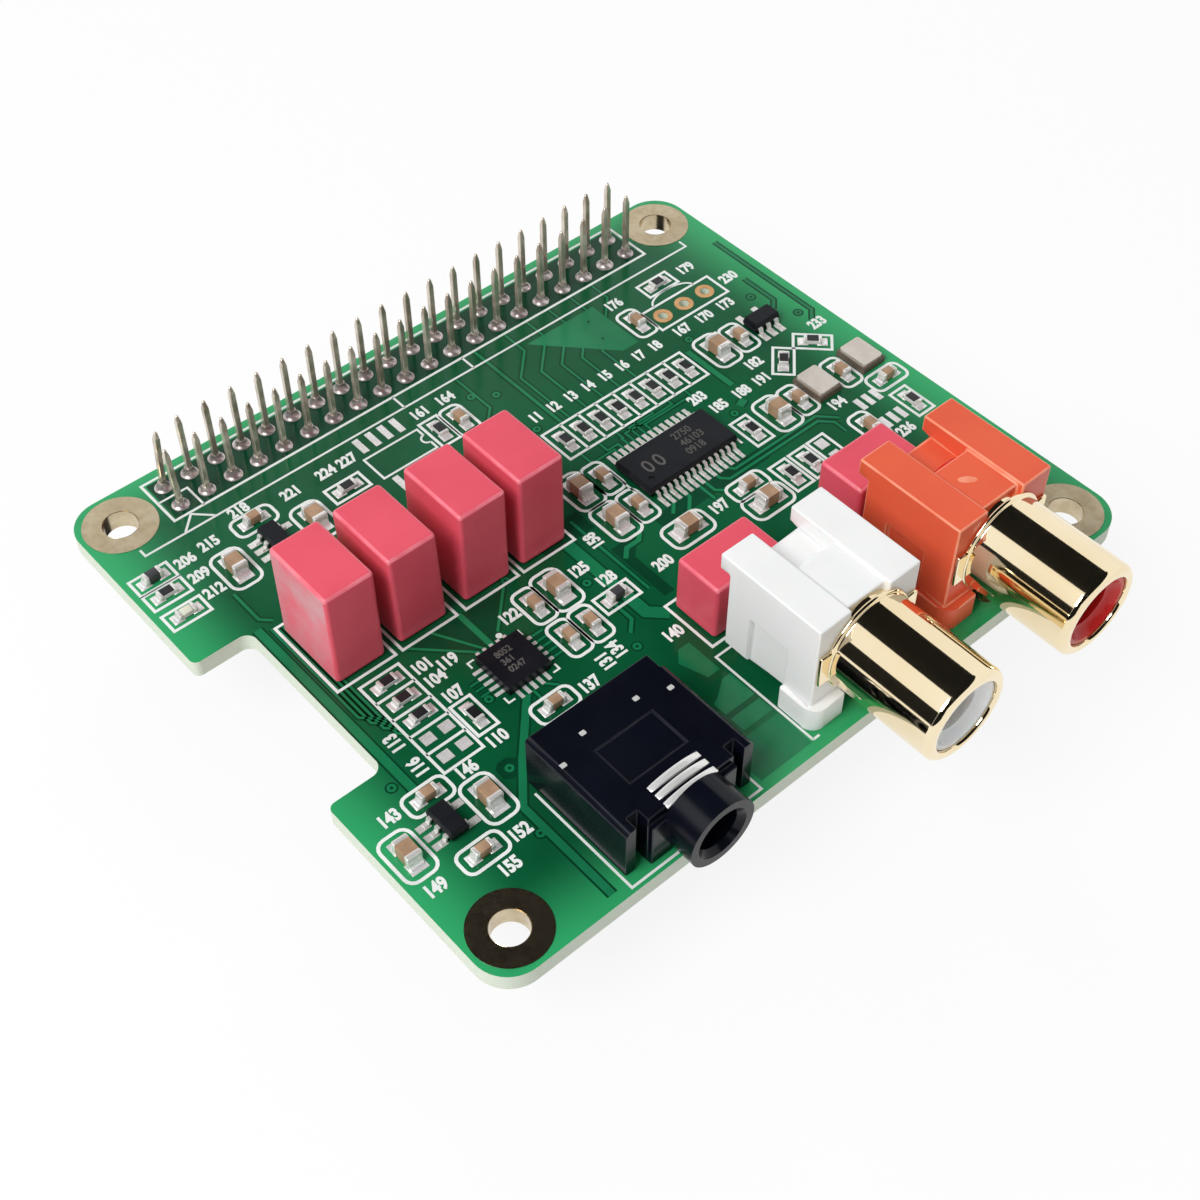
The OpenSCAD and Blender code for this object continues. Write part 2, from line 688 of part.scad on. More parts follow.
module regulator_leads()
    color("silver") place_all(regulator_places) {
        body = regulator_size[0] / 2;
        tip = regulator_span / 2;
        rotate([0, 0, 180]) side_leads(3, regulator_pitch, body, tip, 0.65, 0.4);
        side_leads(2, 2 * regulator_pitch, body, tip, 0.65, 0.4);
        for (p = [[-1, -1], [-1, 0], [-1, 1], [1, -1], [1, 1]])
            translate([p[0] * regulator_land_x, p[1] * regulator_pitch, 0])
                block([regulator_land[0], regulator_land[1], land_t]);
    }

module oscillator_base(index)
    color("tan") place_all([oscillator_places[index - 1]]) block(oscillator_size);

module oscillator_lid(index)
    color("lightgray") place_all([oscillator_places[index - 1]]) translate([0, 0, oscillator_size[2]])
        linear_extrude(oscillator_lid_h)
            rounded_rectangle(oscillator_size[0] - 0.3, oscillator_size[1] - 0.3, 0.25);

// Two-ended chip parts, along X

module chip_middle(chip)
    translate([0, 0, land_t]) block([chip[0] - 2 * chip[3], chip[1], chip[2]]);

module chip_ends(chip) {
    swell = 0.03;
    for (s = [-1, 1]) {
        translate([s * (chip[0] - chip[3]) / 2, 0, land_t])
            block([chip[3], chip[1] + swell, chip[2] + swell / 2]);
        translate([s * (chip[0] / 2 + 0.05), 0, 0]) block([chip[3] + 0.65, chip[1] + 0.2, land_t]);
    }
}

module large_ceramic_capacitors() color("tan") place_all(large_caps) chip_middle(large_chip);
module large_capacitor_ends() color("silver") place_all(large_caps) chip_ends(large_chip);
module small_ceramic_capacitors() color("tan") place_all(small_caps) chip_middle(small_chip);
module small_capacitor_ends() color("silver") place_all(small_caps) chip_ends(small_chip);
module chip_resistors() color("#2b2b2e") place_all(resistors) chip_middle(flat_chip);
module resistor_ends() color("silver") place_all(resistors) chip_ends(flat_chip);
module ferrite_beads() color("#26272b") place_all(beads) chip_middle(small_chip);
module ferrite_ends() color("silver") place_all(beads) chip_ends(small_chip);
module indicator_lamp() color("ivory") place_all([lamp_place]) chip_middle(flat_chip);
module indicator_ends() color("silver") place_all([lamp_place]) chip_ends(flat_chip);

circuit_board();
mounting_rings();
jumper_pads();
solder_lands();
header_socket();
header_pins_near();
header_pins_far();
solder_joints();
film_capacitor(1);  // film_capacitor_1
film_capacitor(2);  // film_capacitor_2
film_capacitor(3);  // film_capacitor_3
film_capacitor(4);  // film_capacitor_4
film_capacitor(5);  // film_capacitor_5
film_capacitor(6);  // film_capacitor_6
film_capacitor_leads();
white_phono_housing();
white_phono_shell();
white_phono_insulator();
white_phono_contact();
white_phono_ground_tag();
red_phono_housing();
red_phono_shell();
red_phono_insulator();
red_phono_contact();
red_phono_ground_tag();
headphone_housing();
headphone_bands();
headphone_terminals();
headphone_springs();
converter_chip();
converter_leads();
amplifier_chip();
regulator(1);  // regulator_1
regulator(2);  // regulator_2
regulator(3);  // regulator_3
regulator_leads();
oscillator_base(1);  // oscillator_base_1
oscillator_base(2);  // oscillator_base_2
oscillator_lid(1);  // oscillator_lid_1
oscillator_lid(2);  // oscillator_lid_2
large_ceramic_capacitors();
large_capacitor_ends();
small_ceramic_capacitors();
small_capacitor_ends();
chip_resistors();
resistor_ends();
ferrite_beads();
ferrite_ends();
indicator_lamp();
indicator_ends();
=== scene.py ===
import math
import random

import bmesh
import bpy
from mathutils import Matrix, Vector


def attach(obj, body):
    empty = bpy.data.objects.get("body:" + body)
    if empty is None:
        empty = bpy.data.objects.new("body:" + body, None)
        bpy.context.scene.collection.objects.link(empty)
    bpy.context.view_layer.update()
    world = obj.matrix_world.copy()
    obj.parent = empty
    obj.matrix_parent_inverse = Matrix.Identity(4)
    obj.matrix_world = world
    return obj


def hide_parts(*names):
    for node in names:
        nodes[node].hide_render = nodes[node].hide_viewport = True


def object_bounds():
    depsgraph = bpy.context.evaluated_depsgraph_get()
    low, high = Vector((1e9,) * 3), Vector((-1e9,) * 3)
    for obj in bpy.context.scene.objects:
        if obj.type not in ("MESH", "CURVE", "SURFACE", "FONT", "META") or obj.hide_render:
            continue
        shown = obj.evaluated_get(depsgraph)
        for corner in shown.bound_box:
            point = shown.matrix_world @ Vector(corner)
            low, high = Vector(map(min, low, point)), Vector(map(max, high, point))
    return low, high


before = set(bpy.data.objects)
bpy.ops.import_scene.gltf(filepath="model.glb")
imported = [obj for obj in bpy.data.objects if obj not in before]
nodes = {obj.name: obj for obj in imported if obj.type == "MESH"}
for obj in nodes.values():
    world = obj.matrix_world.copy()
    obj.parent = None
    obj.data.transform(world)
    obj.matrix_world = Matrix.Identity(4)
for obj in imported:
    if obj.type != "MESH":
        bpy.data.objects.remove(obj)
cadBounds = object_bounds()
scene = bpy.context.scene
print("frame loaded:", len(nodes), "nodes")

mm = 0.001
board = {"length": 65.0, "width": 56.0, "thickness": 1.6}


def boardPoint(x, y, z=0.0):
    # x and y in mm from the board's corner, z in mm above its top; metres out
    return Vector(((x - board["length"] / 2) * mm, (y - board["width"] / 2) * mm,
                   (z + board["thickness"]) * mm))


def addObject(name, data):
    made = bpy.data.objects.new(name, data)
    scene.collection.objects.link(made)
    return made


def addMesh(name, bm, *materials):
    mesh = bpy.data.meshes.new(name)
    bm.to_mesh(mesh)
    bm.free()
    for material in materials:
        mesh.materials.append(material)
    return addObject(name, mesh)


# the camera stands where the photograph was taken: place in mm, angles in degrees
cameraView = {"place": (-66.1007, -75.8645, 109.3035), "azimuth": -41.318, "elevation": 49.5,
              "lens": 54.977, "sensor": 36, "nearest": 0.005}

azimuth, elevation = math.radians(cameraView["azimuth"]), math.radians(cameraView["elevation"])
towardsCamera = Vector((math.sin(azimuth) * math.cos(elevation),
                        -math.cos(azimuth) * math.cos(elevation), math.sin(elevation)))
cameraData = bpy.data.cameras.new("camera")
cameraData.lens = cameraView["lens"]
cameraData.sensor_width = cameraView["sensor"]
cameraData.clip_start = cameraView["nearest"]
camera = addObject("camera", cameraData)
camera.location = Vector(cameraView["place"]) * mm
camera.rotation_euler = towardsCamera.to_track_quat("Z", "Y").to_euler()
scene.camera = camera


# effects that several materials share are node groups
def newGroup(name, inputs, outputs):
    group = bpy.data.node_groups.new(name, "ShaderNodeTree")
    for label, kind, value in inputs:
        socket = group.interface.new_socket(name=label, in_out="INPUT",
                                            socket_type="NodeSocket" + kind)
        socket.default_value = value
    for label, kind in outputs:
        group.interface.new_socket(name=label, in_out="OUTPUT", socket_type="NodeSocket" + kind)
    return group, group.nodes.new("NodeGroupInput"), group.nodes.new("NodeGroupOutput")


def addNode(tree, kind, **values):
    # values go to the socket of that name, with spaces for underscores, or to the node itself
    node = tree.nodes.new("ShaderNode" + kind)
    for key, value in values.items():
        label = key.replace("_", " ")
        if label in node.inputs:
            node.inputs[label].default_value = value
        else:
            setattr(node, key, value)
    return node


def useGroup(tree, group, **values):
    return addNode(tree, "Group", node_tree=group, **values)


def feed(tree, node, values):
    # values by socket: a number or colour is set, an output is linked
    for key, value in values.items():
        if isinstance(value, (int, float, tuple)):
            node.inputs[key].default_value = value
        else:
            tree.links.new(value, node.inputs[key])


def mathNode(tree, operation, first, second=0.5):
    node = addNode(tree, "Math", operation=operation)
    feed(tree, node, {0: first, 1: second})
    return node.outputs[0]


def mixColours(tree, factor, first, second):
    # a colour mix keeps its two colours in sockets 6 and 7
    node = addNode(tree, "Mix", data_type="RGBA")
    feed(tree, node, {0: factor, 6: first, 7: second})
    return node.outputs[2]


def makeGrainGroup():
    # fine moulded or cast grain: a rough value that wanders, and a height for bump
    g, given, out = newGroup("surface grain", [
        ("Scale", "Float", 1500.0), ("Low Roughness", "Float", 0.3),
        ("High Roughness", "Float", 0.5)],
        [("Roughness", "Float"), ("Height", "Float")])
    coords = addNode(g, "TexCoord").outputs["Object"]
    fine = addNode(g, "TexNoise", Detail=4.0, Roughness=0.6)
    wide = addNode(g, "TexNoise", Detail=2.0)
    scale = given.outputs["Scale"]
    feed(g, fine, {"Vector": coords, "Scale": scale})
    feed(g, wide, {"Vector": coords, "Scale": mathNode(g, "MULTIPLY", scale, 0.15)})
    spread = addNode(g, "MapRange", From_Min=0.3, From_Max=0.7)
    feed(g, spread, {"Value": wide.outputs["Fac"], "To Min": given.outputs["Low Roughness"],
                     "To Max": given.outputs["High Roughness"]})
    feed(g, out, {"Roughness": spread.outputs["Result"], "Height": fine.outputs["Fac"]})
    return g


def makeDriftGroup():
    # slow drift between two tones, with a little fine speckle
    g, given, out = newGroup("tone drift", [
        ("Tone A", "Color", (0.5, 0.5, 0.5, 1)),
        ("Tone B", "Color", (0.4, 0.4, 0.4, 1)),
        ("Scale", "Float", 200.0), ("Speckle", "Float", 0.2)],
        [("Color", "Color")])
    coords = addNode(g, "TexCoord").outputs["Object"]
    wide = addNode(g, "TexNoise", Detail=3.0)
    speck = addNode(g, "TexNoise", Detail=2.0)
    for noise, finer in ((wide, 1.0), (speck, 12.0)):
        feed(g, noise, {"Vector": coords,
                        "Scale": mathNode(g, "MULTIPLY", given.outputs["Scale"], finer)})
    spread = addNode(g, "MapRange", From_Min=0.35, From_Max=0.65)
    feed(g, spread, {"Value": wide.outputs["Fac"]})
    dots = mathNode(g, "MULTIPLY", mathNode(g, "SUBTRACT", speck.outputs["Fac"], 0.5),
                    given.outputs["Speckle"])
    total = mathNode(g, "ADD", spread.outputs["Result"], dots)
    tone = mixColours(g, total, given.outputs["Tone A"], given.outputs["Tone B"])
    feed(g, out, {"Color": tone})
    return g


def makeScratchGroup():
    # long fine lines, as drawn or brushed metal shows
    g, given, out = newGroup("drawn lines", [
        ("Stretch", "Vector", (1.0, 0.05, 1.0)), ("Scale", "Float", 4000.0),
        ("Low Roughness", "Float", 0.1), ("High Roughness", "Float", 0.25)],
        [("Roughness", "Float"), ("Height", "Float")])
    coords = addNode(g, "TexCoord").outputs["Object"]
    stretch = addNode(g, "VectorMath", operation="MULTIPLY")
    feed(g, stretch, {0: coords, 1: given.outputs["Stretch"]})
    lines = addNode(g, "TexNoise", Detail=3.0)
    feed(g, lines, {"Vector": stretch.outputs[0], "Scale": given.outputs["Scale"]})
    spread = addNode(g, "MapRange")
    feed(g, spread, {"Value": lines.outputs["Fac"], "To Min": given.outputs["Low Roughness"],
                     "To Max": given.outputs["High Roughness"]})
    feed(g, out, {"Roughness": spread.outputs["Result"], "Height": lines.outputs["Fac"]})
    return g


grainGroup, driftGroup, scratchGroup = makeGrainGroup(), makeDriftGroup(), makeScratchGroup()


def colour(r, g, b):
    return (r, g, b, 1.0)


def startMaterial(name):
    material = bpy.data.materials.new(name)
    material.use_nodes = True
    tree = material.node_tree
    return material, tree, tree.nodes["Principled BSDF"]


def addBump(tree, shader, height, strength, distance):
    bump = addNode(tree, "Bump", Strength=strength, Distance=distance)
    feed(tree, bump, {"Height": height})
    feed(tree, shader, {"Normal": bump.outputs["Normal"]})


def plastic(name, toneA, toneB, low, high, grain=1800.0, bump=0.15, drift=160.0, scatter=0.0,
            specular=0.5):
    material, tree, shader = startMaterial(name)
    tone = useGroup(tree, driftGroup, Tone_A=colour(*toneA), Tone_B=colour(*toneB), Scale=drift,
                    Speckle=0.3)
    skin = useGroup(tree, grainGroup, Scale=grain, Low_Roughness=low, High_Roughness=high)
    feed(tree, shader, {"Base Color": tone.outputs["Color"],
                        "Roughness": skin.outputs["Roughness"], "Specular IOR Level": specular})
    if scatter:
        feed(tree, shader, {"Subsurface Weight": scatter, "Subsurface Radius": (1.0, 0.6, 0.5),
                            "Subsurface Scale": 0.6 * mm})
    addBump(tree, shader, skin.outputs["Height"], bump, 0.00002)
    return material


def metal(name, toneA, toneB, low, high, scale=2500.0, stretch=(1.0, 1.0, 1.0), bump=0.1,
          drift=300.0, speckle=0.3, part=1.0):
    material, tree, shader = startMaterial(name)
    tone = useGroup(tree, driftGroup, Tone_A=colour(*toneA), Tone_B=colour(*toneB), Scale=drift,
                    Speckle=speckle)
    lines = useGroup(tree, scratchGroup, Scale=scale, Stretch=stretch, Low_Roughness=low,
                     High_Roughness=high)
    feed(tree, shader, {"Base Color": tone.outputs["Color"],
                        "Roughness": lines.outputs["Roughness"], "Metallic": part})
    addBump(tree, shader, lines.outputs["Height"], bump, 0.00001)
    return material


# near the rim the green is paler: painted light, a lighter green mixed into the mask towards the
# board's edges
boardLook = {"mask": ((0.0015, 0.072, 0.025), (0.003, 0.100, 0.036)),
             "laminate": ((0.62, 0.68, 0.56), (0.68, 0.73, 0.62)), "rim": (0.036, 0.42, 0.150),
             "rimFromX": 25.5, "rimFromY": 21.5, "rimWidth": 8.0, "paintedRimShare": 0.85,
             "edgeRougher": 0.4}


def makeBoardMaterial():
    # solder mask on the two faces, glass-fibre laminate on every cut edge
    look = boardLook
    material, tree, shader = startMaterial("green solder mask")
    split = addNode(tree, "SeparateXYZ")
    feed(tree, split, {0: addNode(tree, "NewGeometry").outputs["Normal"]})
    flat = mathNode(tree, "GREATER_THAN", mathNode(tree, "ABSOLUTE", split.outputs["Z"]), 0.5)
    mask = useGroup(tree, driftGroup, Tone_A=colour(*look["mask"][0]),
                    Tone_B=colour(*look["mask"][1]), Scale=90.0, Speckle=0.2)
    coords = addNode(tree, "TexCoord").outputs["Object"]
    layers = addNode(tree, "TexWave", bands_direction="Z", Scale=900.0, Distortion=3.0,
                     Detail=2.0)
    feed(tree, layers, {"Vector": coords})
    laminate = mixColours(tree, layers.outputs["Fac"], colour(*look["laminate"][0]),
                          colour(*look["laminate"][1]))
    place = addNode(tree, "SeparateXYZ")
    feed(tree, place, {0: coords})
    past = [mathNode(tree, "SUBTRACT", mathNode(tree, "ABSOLUTE", place.outputs[axis]),
                     look["rimFrom" + axis] * mm) for axis in "XY"]
    # painted light: towards the edges the mask turns to the paler rim green
    paintedRimLight = addNode(tree, "MapRange", interpolation_type="SMOOTHSTEP", From_Min=0.0,
                   From_Max=look["rimWidth"] * mm, To_Max=look["paintedRimShare"])
    feed(tree, paintedRimLight, {"Value": mathNode(tree, "MAXIMUM", *past)})
    face = mixColours(tree, paintedRimLight.outputs["Result"], mask.outputs["Color"], colour(*look["rim"]))
    skin = useGroup(tree, grainGroup, Scale=900.0, Low_Roughness=0.14, High_Roughness=0.24)
    edge = mathNode(tree, "MULTIPLY", mathNode(tree, "SUBTRACT", 1.0, flat), look["edgeRougher"])
    feed(tree, shader, {"Base Color": mixColours(tree, flat, laminate, face),
                        "Roughness": mathNode(tree, "ADD", skin.outputs["Roughness"], edge),
                        "Specular IOR Level": 0.3})
    addBump(tree, shader, skin.outputs["Height"], 0.08, 0.00003)
    return material


boardMask = makeBoardMaterial()
# two tones, least and most roughness, fineness of the grain or lines, how the lines are stretched
# (metals only), depth of the grain or lines, then fineness of the drift between the tones
evenly, crosswise = (1.0, 1.0, 1.0), (0.06, 1.0, 1.0)
copperUnderMask = plastic(
    "mask over copper", (0.006, 0.155, 0.060), (0.010, 0.195, 0.077), 0.14, 0.24, 900.0, 0.08,
    specular=0.35)
# darker mask over bare laminate, also used for one painted shadow among the dark patches
bareMaskAndShadow = plastic(
    "mask over laminate, and painted shadow", (0.0015, 0.040, 0.016), (0.002, 0.055, 0.022), 0.14, 0.24, 900.0, 0.08,
    specular=0.25)
silkInk = plastic("white ink", (0.80, 0.82, 0.80), (0.70, 0.73, 0.70), 0.45, 0.6, 2500.0, 0.2)
capacitorRed = plastic(
    "red capacitor case", (0.76, 0.094, 0.138), (0.70, 0.080, 0.120), 0.3, 0.44, 1600.0, 0.25,
    specular=0.35)
# paler red on the cases' rounded top edges: painted highlight
capacitorEdgeHighlight = plastic(
    "painted case edge highlight", (0.86, 0.22, 0.27), (0.80, 0.13, 0.18), 0.25, 0.38, 1600.0, 0.3, drift=500.0)
# paler, rougher red in patches, on one case's left face
capacitorPaleSide = plastic(
    "paler case side", (0.70, 0.13, 0.175), (0.55, 0.30, 0.32), 0.4, 0.6, 1600.0, 0.5, specular=0.35,
    drift=260.0)
coreWhite = plastic(
    "white core plastic", (0.88, 0.88, 0.87), (0.85, 0.85, 0.84), 0.25, 0.36, 1400.0, 0.08,
    scatter=0.6)
phonoWhite = plastic(
    "white socket plastic", (0.87, 0.87, 0.86), (0.84, 0.84, 0.83), 0.3, 0.42, 1400.0, 0.12,
    scatter=0.25)
phonoRed = plastic(
    "red socket plastic", (0.79, 0.118, 0.050), (0.74, 0.102, 0.044), 0.3, 0.42, 1400.0, 0.12,
    scatter=0.06)
# paler red on the red socket's rounded edges and on its gate mark: painted highlight
phonoRedHighlight = plastic(
    "painted red highlight", (0.92, 0.33, 0.20), (0.86, 0.22, 0.12), 0.25, 0.36, 1400.0, 0.12, drift=500.0)
phonoRedCore = plastic(
    "red core plastic", (0.62, 0.022, 0.018), (0.56, 0.018, 0.015), 0.2, 0.3, 1400.0, 0.08,
    specular=0.35)
jackBlack = plastic(
    "black socket plastic", (0.0025, 0.003, 0.007), (0.004, 0.005, 0.010), 0.16, 0.26, 1500.0, 0.15,
    specular=0.2)
# paler black on the black socket's rounded edges: painted highlight
jackEdgeHighlight = plastic(
    "painted black edge highlight", (0.008, 0.009, 0.015), (0.014, 0.016, 0.022), 0.2, 0.3, 1500.0, 0.15,
    specular=0.3, drift=600.0)
chipMark = plastic(
    "chip marking", (0.11, 0.105, 0.097), (0.07, 0.067, 0.062), 0.4, 0.55, 3000.0, 0.2)
chipBlack = plastic(
    "chip mould", (0.005, 0.006, 0.009), (0.009, 0.010, 0.013), 0.3, 0.42, 4000.0, 0.35,
    specular=0.25)
headerBlack = plastic(
    "header plastic", (0.010, 0.010, 0.012), (0.016, 0.016, 0.018), 0.3, 0.45, 1500.0, 0.2,
    specular=0.3)
ceramicTan = plastic(
    "capacitor ceramic", (0.43, 0.275, 0.168), (0.33, 0.205, 0.122), 0.35, 0.5, 3000.0, 0.3,
    drift=900.0)
aluminaWhite = plastic("resistor substrate", (0.70, 0.70, 0.68), (0.62, 0.62, 0.60), 0.4, 0.5)
resistorGlaze = plastic(
    "resistor glaze", (0.012, 0.012, 0.014), (0.022, 0.022, 0.024), 0.15, 0.3, 3000.0, 0.3)
ferriteBlack = plastic(
    "ferrite", (0.030, 0.030, 0.034), (0.045, 0.045, 0.05), 0.4, 0.55, 5000.0, 0.6)
lampClear = plastic(
    "lamp lens", (0.70, 0.70, 0.58), (0.62, 0.62, 0.48), 0.15, 0.25, 2000.0, 0.1, scatter=0.4)
oscillatorCeramic = plastic(
    "oscillator base", (0.10, 0.075, 0.055), (0.14, 0.105, 0.075), 0.4, 0.55)
goldPlate = metal(
    "gold plate", (0.93, 0.80, 0.56), (0.88, 0.73, 0.47), 0.04, 0.09, 2500.0, (1.0, 0.04, 1.0),
    0.04, 120.0, 0.1)
padGold = metal(
    "pad gold", (0.64, 0.54, 0.37), (0.53, 0.43, 0.28), 0.16, 0.26, 2500.0, evenly, 0.1, 900.0)
padCopper = metal(
    "pad copper", (0.80, 0.47, 0.22), (0.70, 0.38, 0.16), 0.16, 0.28, 2500.0, evenly, 0.1, 900.0,
    part=0.6)
solderMetal = metal(
    "solder", (0.92, 0.91, 0.90), (0.76, 0.75, 0.73), 0.18, 0.36, 1800.0, evenly, 0.5, 700.0,
    part=0.4)
tinMetal = metal(
    "tinned metal", (0.88, 0.87, 0.84), (0.76, 0.74, 0.70), 0.15, 0.3, 2500.0, evenly, 0.3, 900.0,
    part=0.45)
pinMetal = metal(
    "pin metal", (0.80, 0.73, 0.62), (0.44, 0.37, 0.29), 0.12, 0.28, 2500.0, (1.0, 1.0, 0.08), 0.2,
    350.0, part=0.65)
coneMetal = metal(
    "header solder", (0.74, 0.67, 0.65), (0.42, 0.36, 0.35), 0.22, 0.42, 1800.0, evenly, 0.4, 900.0,
    part=0.75)
lidMetal = metal(
    "lid metal", (0.84, 0.78, 0.71), (0.74, 0.67, 0.59), 0.26, 0.38, 3000.0, crosswise, 0.2, 600.0,
    part=0.6)
bandMetal = metal(
    "chromed band", (0.90, 0.90, 0.88), (0.84, 0.84, 0.82), 0.2, 0.34, 3000.0, crosswise, 0.15,
    600.0, part=0.45)
print("materials made")


# edges that turn more than sharpAngle stay sharp
def finishPiece(name, bm, materials, replaced=(), sharpAngle=30.0):
    bmesh.ops.recalc_face_normals(bm, faces=bm.faces)
    for face in bm.faces:
        face.smooth = True
    limit = math.radians(sharpAngle)
    for edge in bm.edges:
        edge.smooth = len(edge.link_faces) == 2 and edge.calc_face_angle(0.0) < limit
    piece = addMesh(name, bm, *materials)
    even = piece.modifiers.new("even shading", "WEIGHTED_NORMAL")
    even.keep_sharp = True
    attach(piece, "root")
    if replaced:
        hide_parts(*replaced)
    return piece


def dress(material, *names):
    for name in names:
        mesh = nodes[name].data
        mesh.materials.clear()
        mesh.materials.append(material)


def placed(bm, verts, x, y, z, turn):
    # turn is in degrees about Z; x, y and z as in boardPoint
    matrix = Matrix.Translation(boardPoint(x, y, z)) @ Matrix.Rotation(math.radians(turn), 4, "Z")
    bmesh.ops.transform(bm, matrix=matrix, verts=verts)


def addBlock(bm, size, offset, x, y, z, turn=0.0, bevel=0.0, steps=2, material=0, draft=0.0):
    # block standing on its base; size and offset in mm, offset before the turn
    made = bmesh.ops.create_cube(bm, size=1.0)["verts"]
    for v in made:
        shrink = 1.0 - (draft if v.co.z > 0 else 0.0)
        v.co = Vector((v.co.x * size[0] * shrink + offset[0], v.co.y * size[1] * shrink + offset[1],
                       (v.co.z + 0.5) * size[2] + offset[2])) * mm
    faces = {f for v in made for f in v.link_faces}
    if bevel:
        edges = {edge for f in faces for edge in f.edges}
        result = bmesh.ops.bevel(bm, geom=list(edges), offset=bevel * mm, segments=steps,
                                 profile=0.5, affect="EDGES", clamp_overlap=True)
        made = list({v for f in result["faces"] for v in f.verts} | {v for v in made if v.is_valid})
        faces = {f for v in made for f in v.link_faces}
    for face in faces:
        face.material_index = material
    placed(bm, made, x, y, z, turn)


def addFillet(bm, width, height, reach, offset, x, y, z, turn, material=0, steps=6):
    # hollow-faced solder wedge that climbs an end at offset and runs out along +X
    rows = []
    for i in range(steps + 1):
        angle = i / steps * math.pi / 2
        px, pz = reach * (1 - math.cos(angle)), height * (1 - math.sin(angle))
        half = width / 2 * (1 - 0.12 * i / steps)
        rows.append([bm.verts.new(((offset + px) * mm, s * half * mm, pz * mm)) for s in (-1, 1)])
    base = [bm.verts.new((offset * mm, s * width / 2 * mm, 0)) for s in (-1, 1)]
    loops = [(p, r, s, q) for (p, q), (r, s) in zip(rows, rows[1:])]
    loops += [[base[k]] + [row[k] for row in rows] for k in (0, 1)]
    loops += [(base[0], base[1], rows[0][1], rows[0][0]), (base[0], *rows[-1], base[1])]
    for loop in loops:
        bm.faces.new(loop).material_index = material
    placed(bm, base + [v for row in rows for v in row], x, y, z, turn)


def addLathe(bm, profile, matrix, segments=48):
    # profile: closed loop of (radius, along) in mm, turned about Z, then moved
    around = [2 * math.pi * k / segments for k in range(segments)]
    rings = [[bm.verts.new((radius * math.cos(a) * mm, radius * math.sin(a) * mm, along * mm))
              for a in (around if radius else around[:1])] for radius, along in profile]
    for first, second in zip(rings, rings[1:]):
        for k in range(segments):
            corners = []
            for ring, spot in ((first, k), (first, k + 1), (second, k + 1), (second, k)):
                v = ring[spot % len(ring)]
                if v not in corners:
                    corners.append(v)
            if len(corners) > 2:
                bm.faces.new(corners)
    bmesh.ops.transform(bm, matrix=matrix, verts=[v for ring in rings for v in ring])


def quarterRound(radius, front, size, steps):
    # rounds a turned form's outer edge, from its side to its front
    angles = [k / steps * math.pi / 2 for k in range(steps + 1)]
    return [(radius - size * (1 - math.cos(a)), front + size * (1 - math.sin(a))) for a in angles]


# joins points closer than merge (metres), forgets edges flatter than flat and rounds the sharp ones
rounding = {"merge": 1e-7, "flat": 0.6, "sharp": 30.0}


def softened(name, width, steps, materials, lean=None, shortest=0.0, clamped=True):
    # copy of a CAD node with sharp edges rounded, in its place; the last material is on the rounds
    bm = bmesh.new()
    bm.from_mesh(nodes[name].data)
    bmesh.ops.remove_doubles(bm, verts=bm.verts, dist=rounding["merge"])
    bmesh.ops.dissolve_limit(bm, angle_limit=math.radians(rounding["flat"]), verts=bm.verts,
                             edges=bm.edges)
    if lean:
        bmesh.ops.bisect_plane(bm, geom=bm.verts[:] + bm.edges[:] + bm.faces[:],
                               plane_co=boardPoint(0, 0, 0.2), plane_no=(0, 0, 1))
    sharp = [edge for edge in bm.edges if len(edge.link_faces) == 2
             and edge.calc_length() > shortest * mm
             and edge.calc_face_angle(0.0) > math.radians(rounding["sharp"])]
    made = bmesh.ops.bevel(bm, geom=sharp, offset=width * mm, segments=steps, profile=0.5,
                           affect="EDGES", clamp_overlap=clamped, miter_outer="ARC")
    for face in made["faces"]:
        face.material_index = len(materials) - 1
    if lean:
        for v in bm.verts:
            v.co = lean(v.co)
    bmesh.ops.triangulate(bm, faces=[f for f in bm.faces if len(f.verts) > 4])
    return finishPiece(name + "_piece", bm, materials, (name,), 35.0)


# board
dress(boardMask, "circuit_board")
dress(padGold, "mounting_rings")
dress(padCopper, "jumper_pads")
dress(solderMetal, "solder_lands")

plating = {"holesX": (3.5, 61.5), "holesY": (3.5, 52.5), "radius": 1.5, "wall": 0.05, "proud": 0.03}
outer, inner, deep = plating["radius"], plating["radius"] - plating["wall"], board["thickness"]
bm = bmesh.new()
for x in plating["holesX"]:
    for y in plating["holesY"]:
        addLathe(bm, [(outer, -deep), (outer, 0), (inner, plating["proud"]),
                      (inner, -deep - plating["proud"]), (outer, -deep)],
                 Matrix.Translation(boardPoint(x, y)))
finishPiece("hole_plating", bm, [padGold], (), 35.0)
print("board dressed")

# header: pins, solder cones and the socket below
header = {"firstX": 8.37, "pitch": 2.54, "count": 20, "nearY": 51.23, "farY": 53.77,
          "pinSide": 0.64, "rise": 6.5, "slimFrom": 0.1, "slim": 0.76, "blunt": 1.35,
          "bluntLength": 0.4, "leanFrom": 1.0, "nearLean": (-0.3, -0.1, 0),
          "farLean": (0.25, -0.5, 0)}

softened("header_socket", 0.12, 2, [headerBlack], shortest=0.8, clamped=False)


def slimPin(co):
    # above the board the pins are slimmer, with blunt tips, and the first pin of each row leans
    place = co / mm + Vector((board["length"] / 2, board["width"] / 2, -board["thickness"]))
    if place.z < header["slimFrom"]:
        return co
    i = round((place.x - header["firstX"]) / header["pitch"])
    row = min(("near", "far"), key=lambda side: abs(header[side + "Y"] - place.y))
    middle = Vector((header["firstX"] + i * header["pitch"], header[row + "Y"], place.z))
    atTip = place.z > header["rise"] - header["bluntLength"]
    place = middle + (place - middle) * (header["slim"] * (header["blunt"] if atTip else 1.0))
    if i == 0:
        start = header["leanFrom"]
        place += Vector(header[row + "Lean"]) * max(0.0, place.z - start) / (header["rise"] - start)
    return boardPoint(*place)


for side in ("near", "far"):
    softened("header_pins_" + side, 0.07, 1, [pinMetal], lean=slimPin)

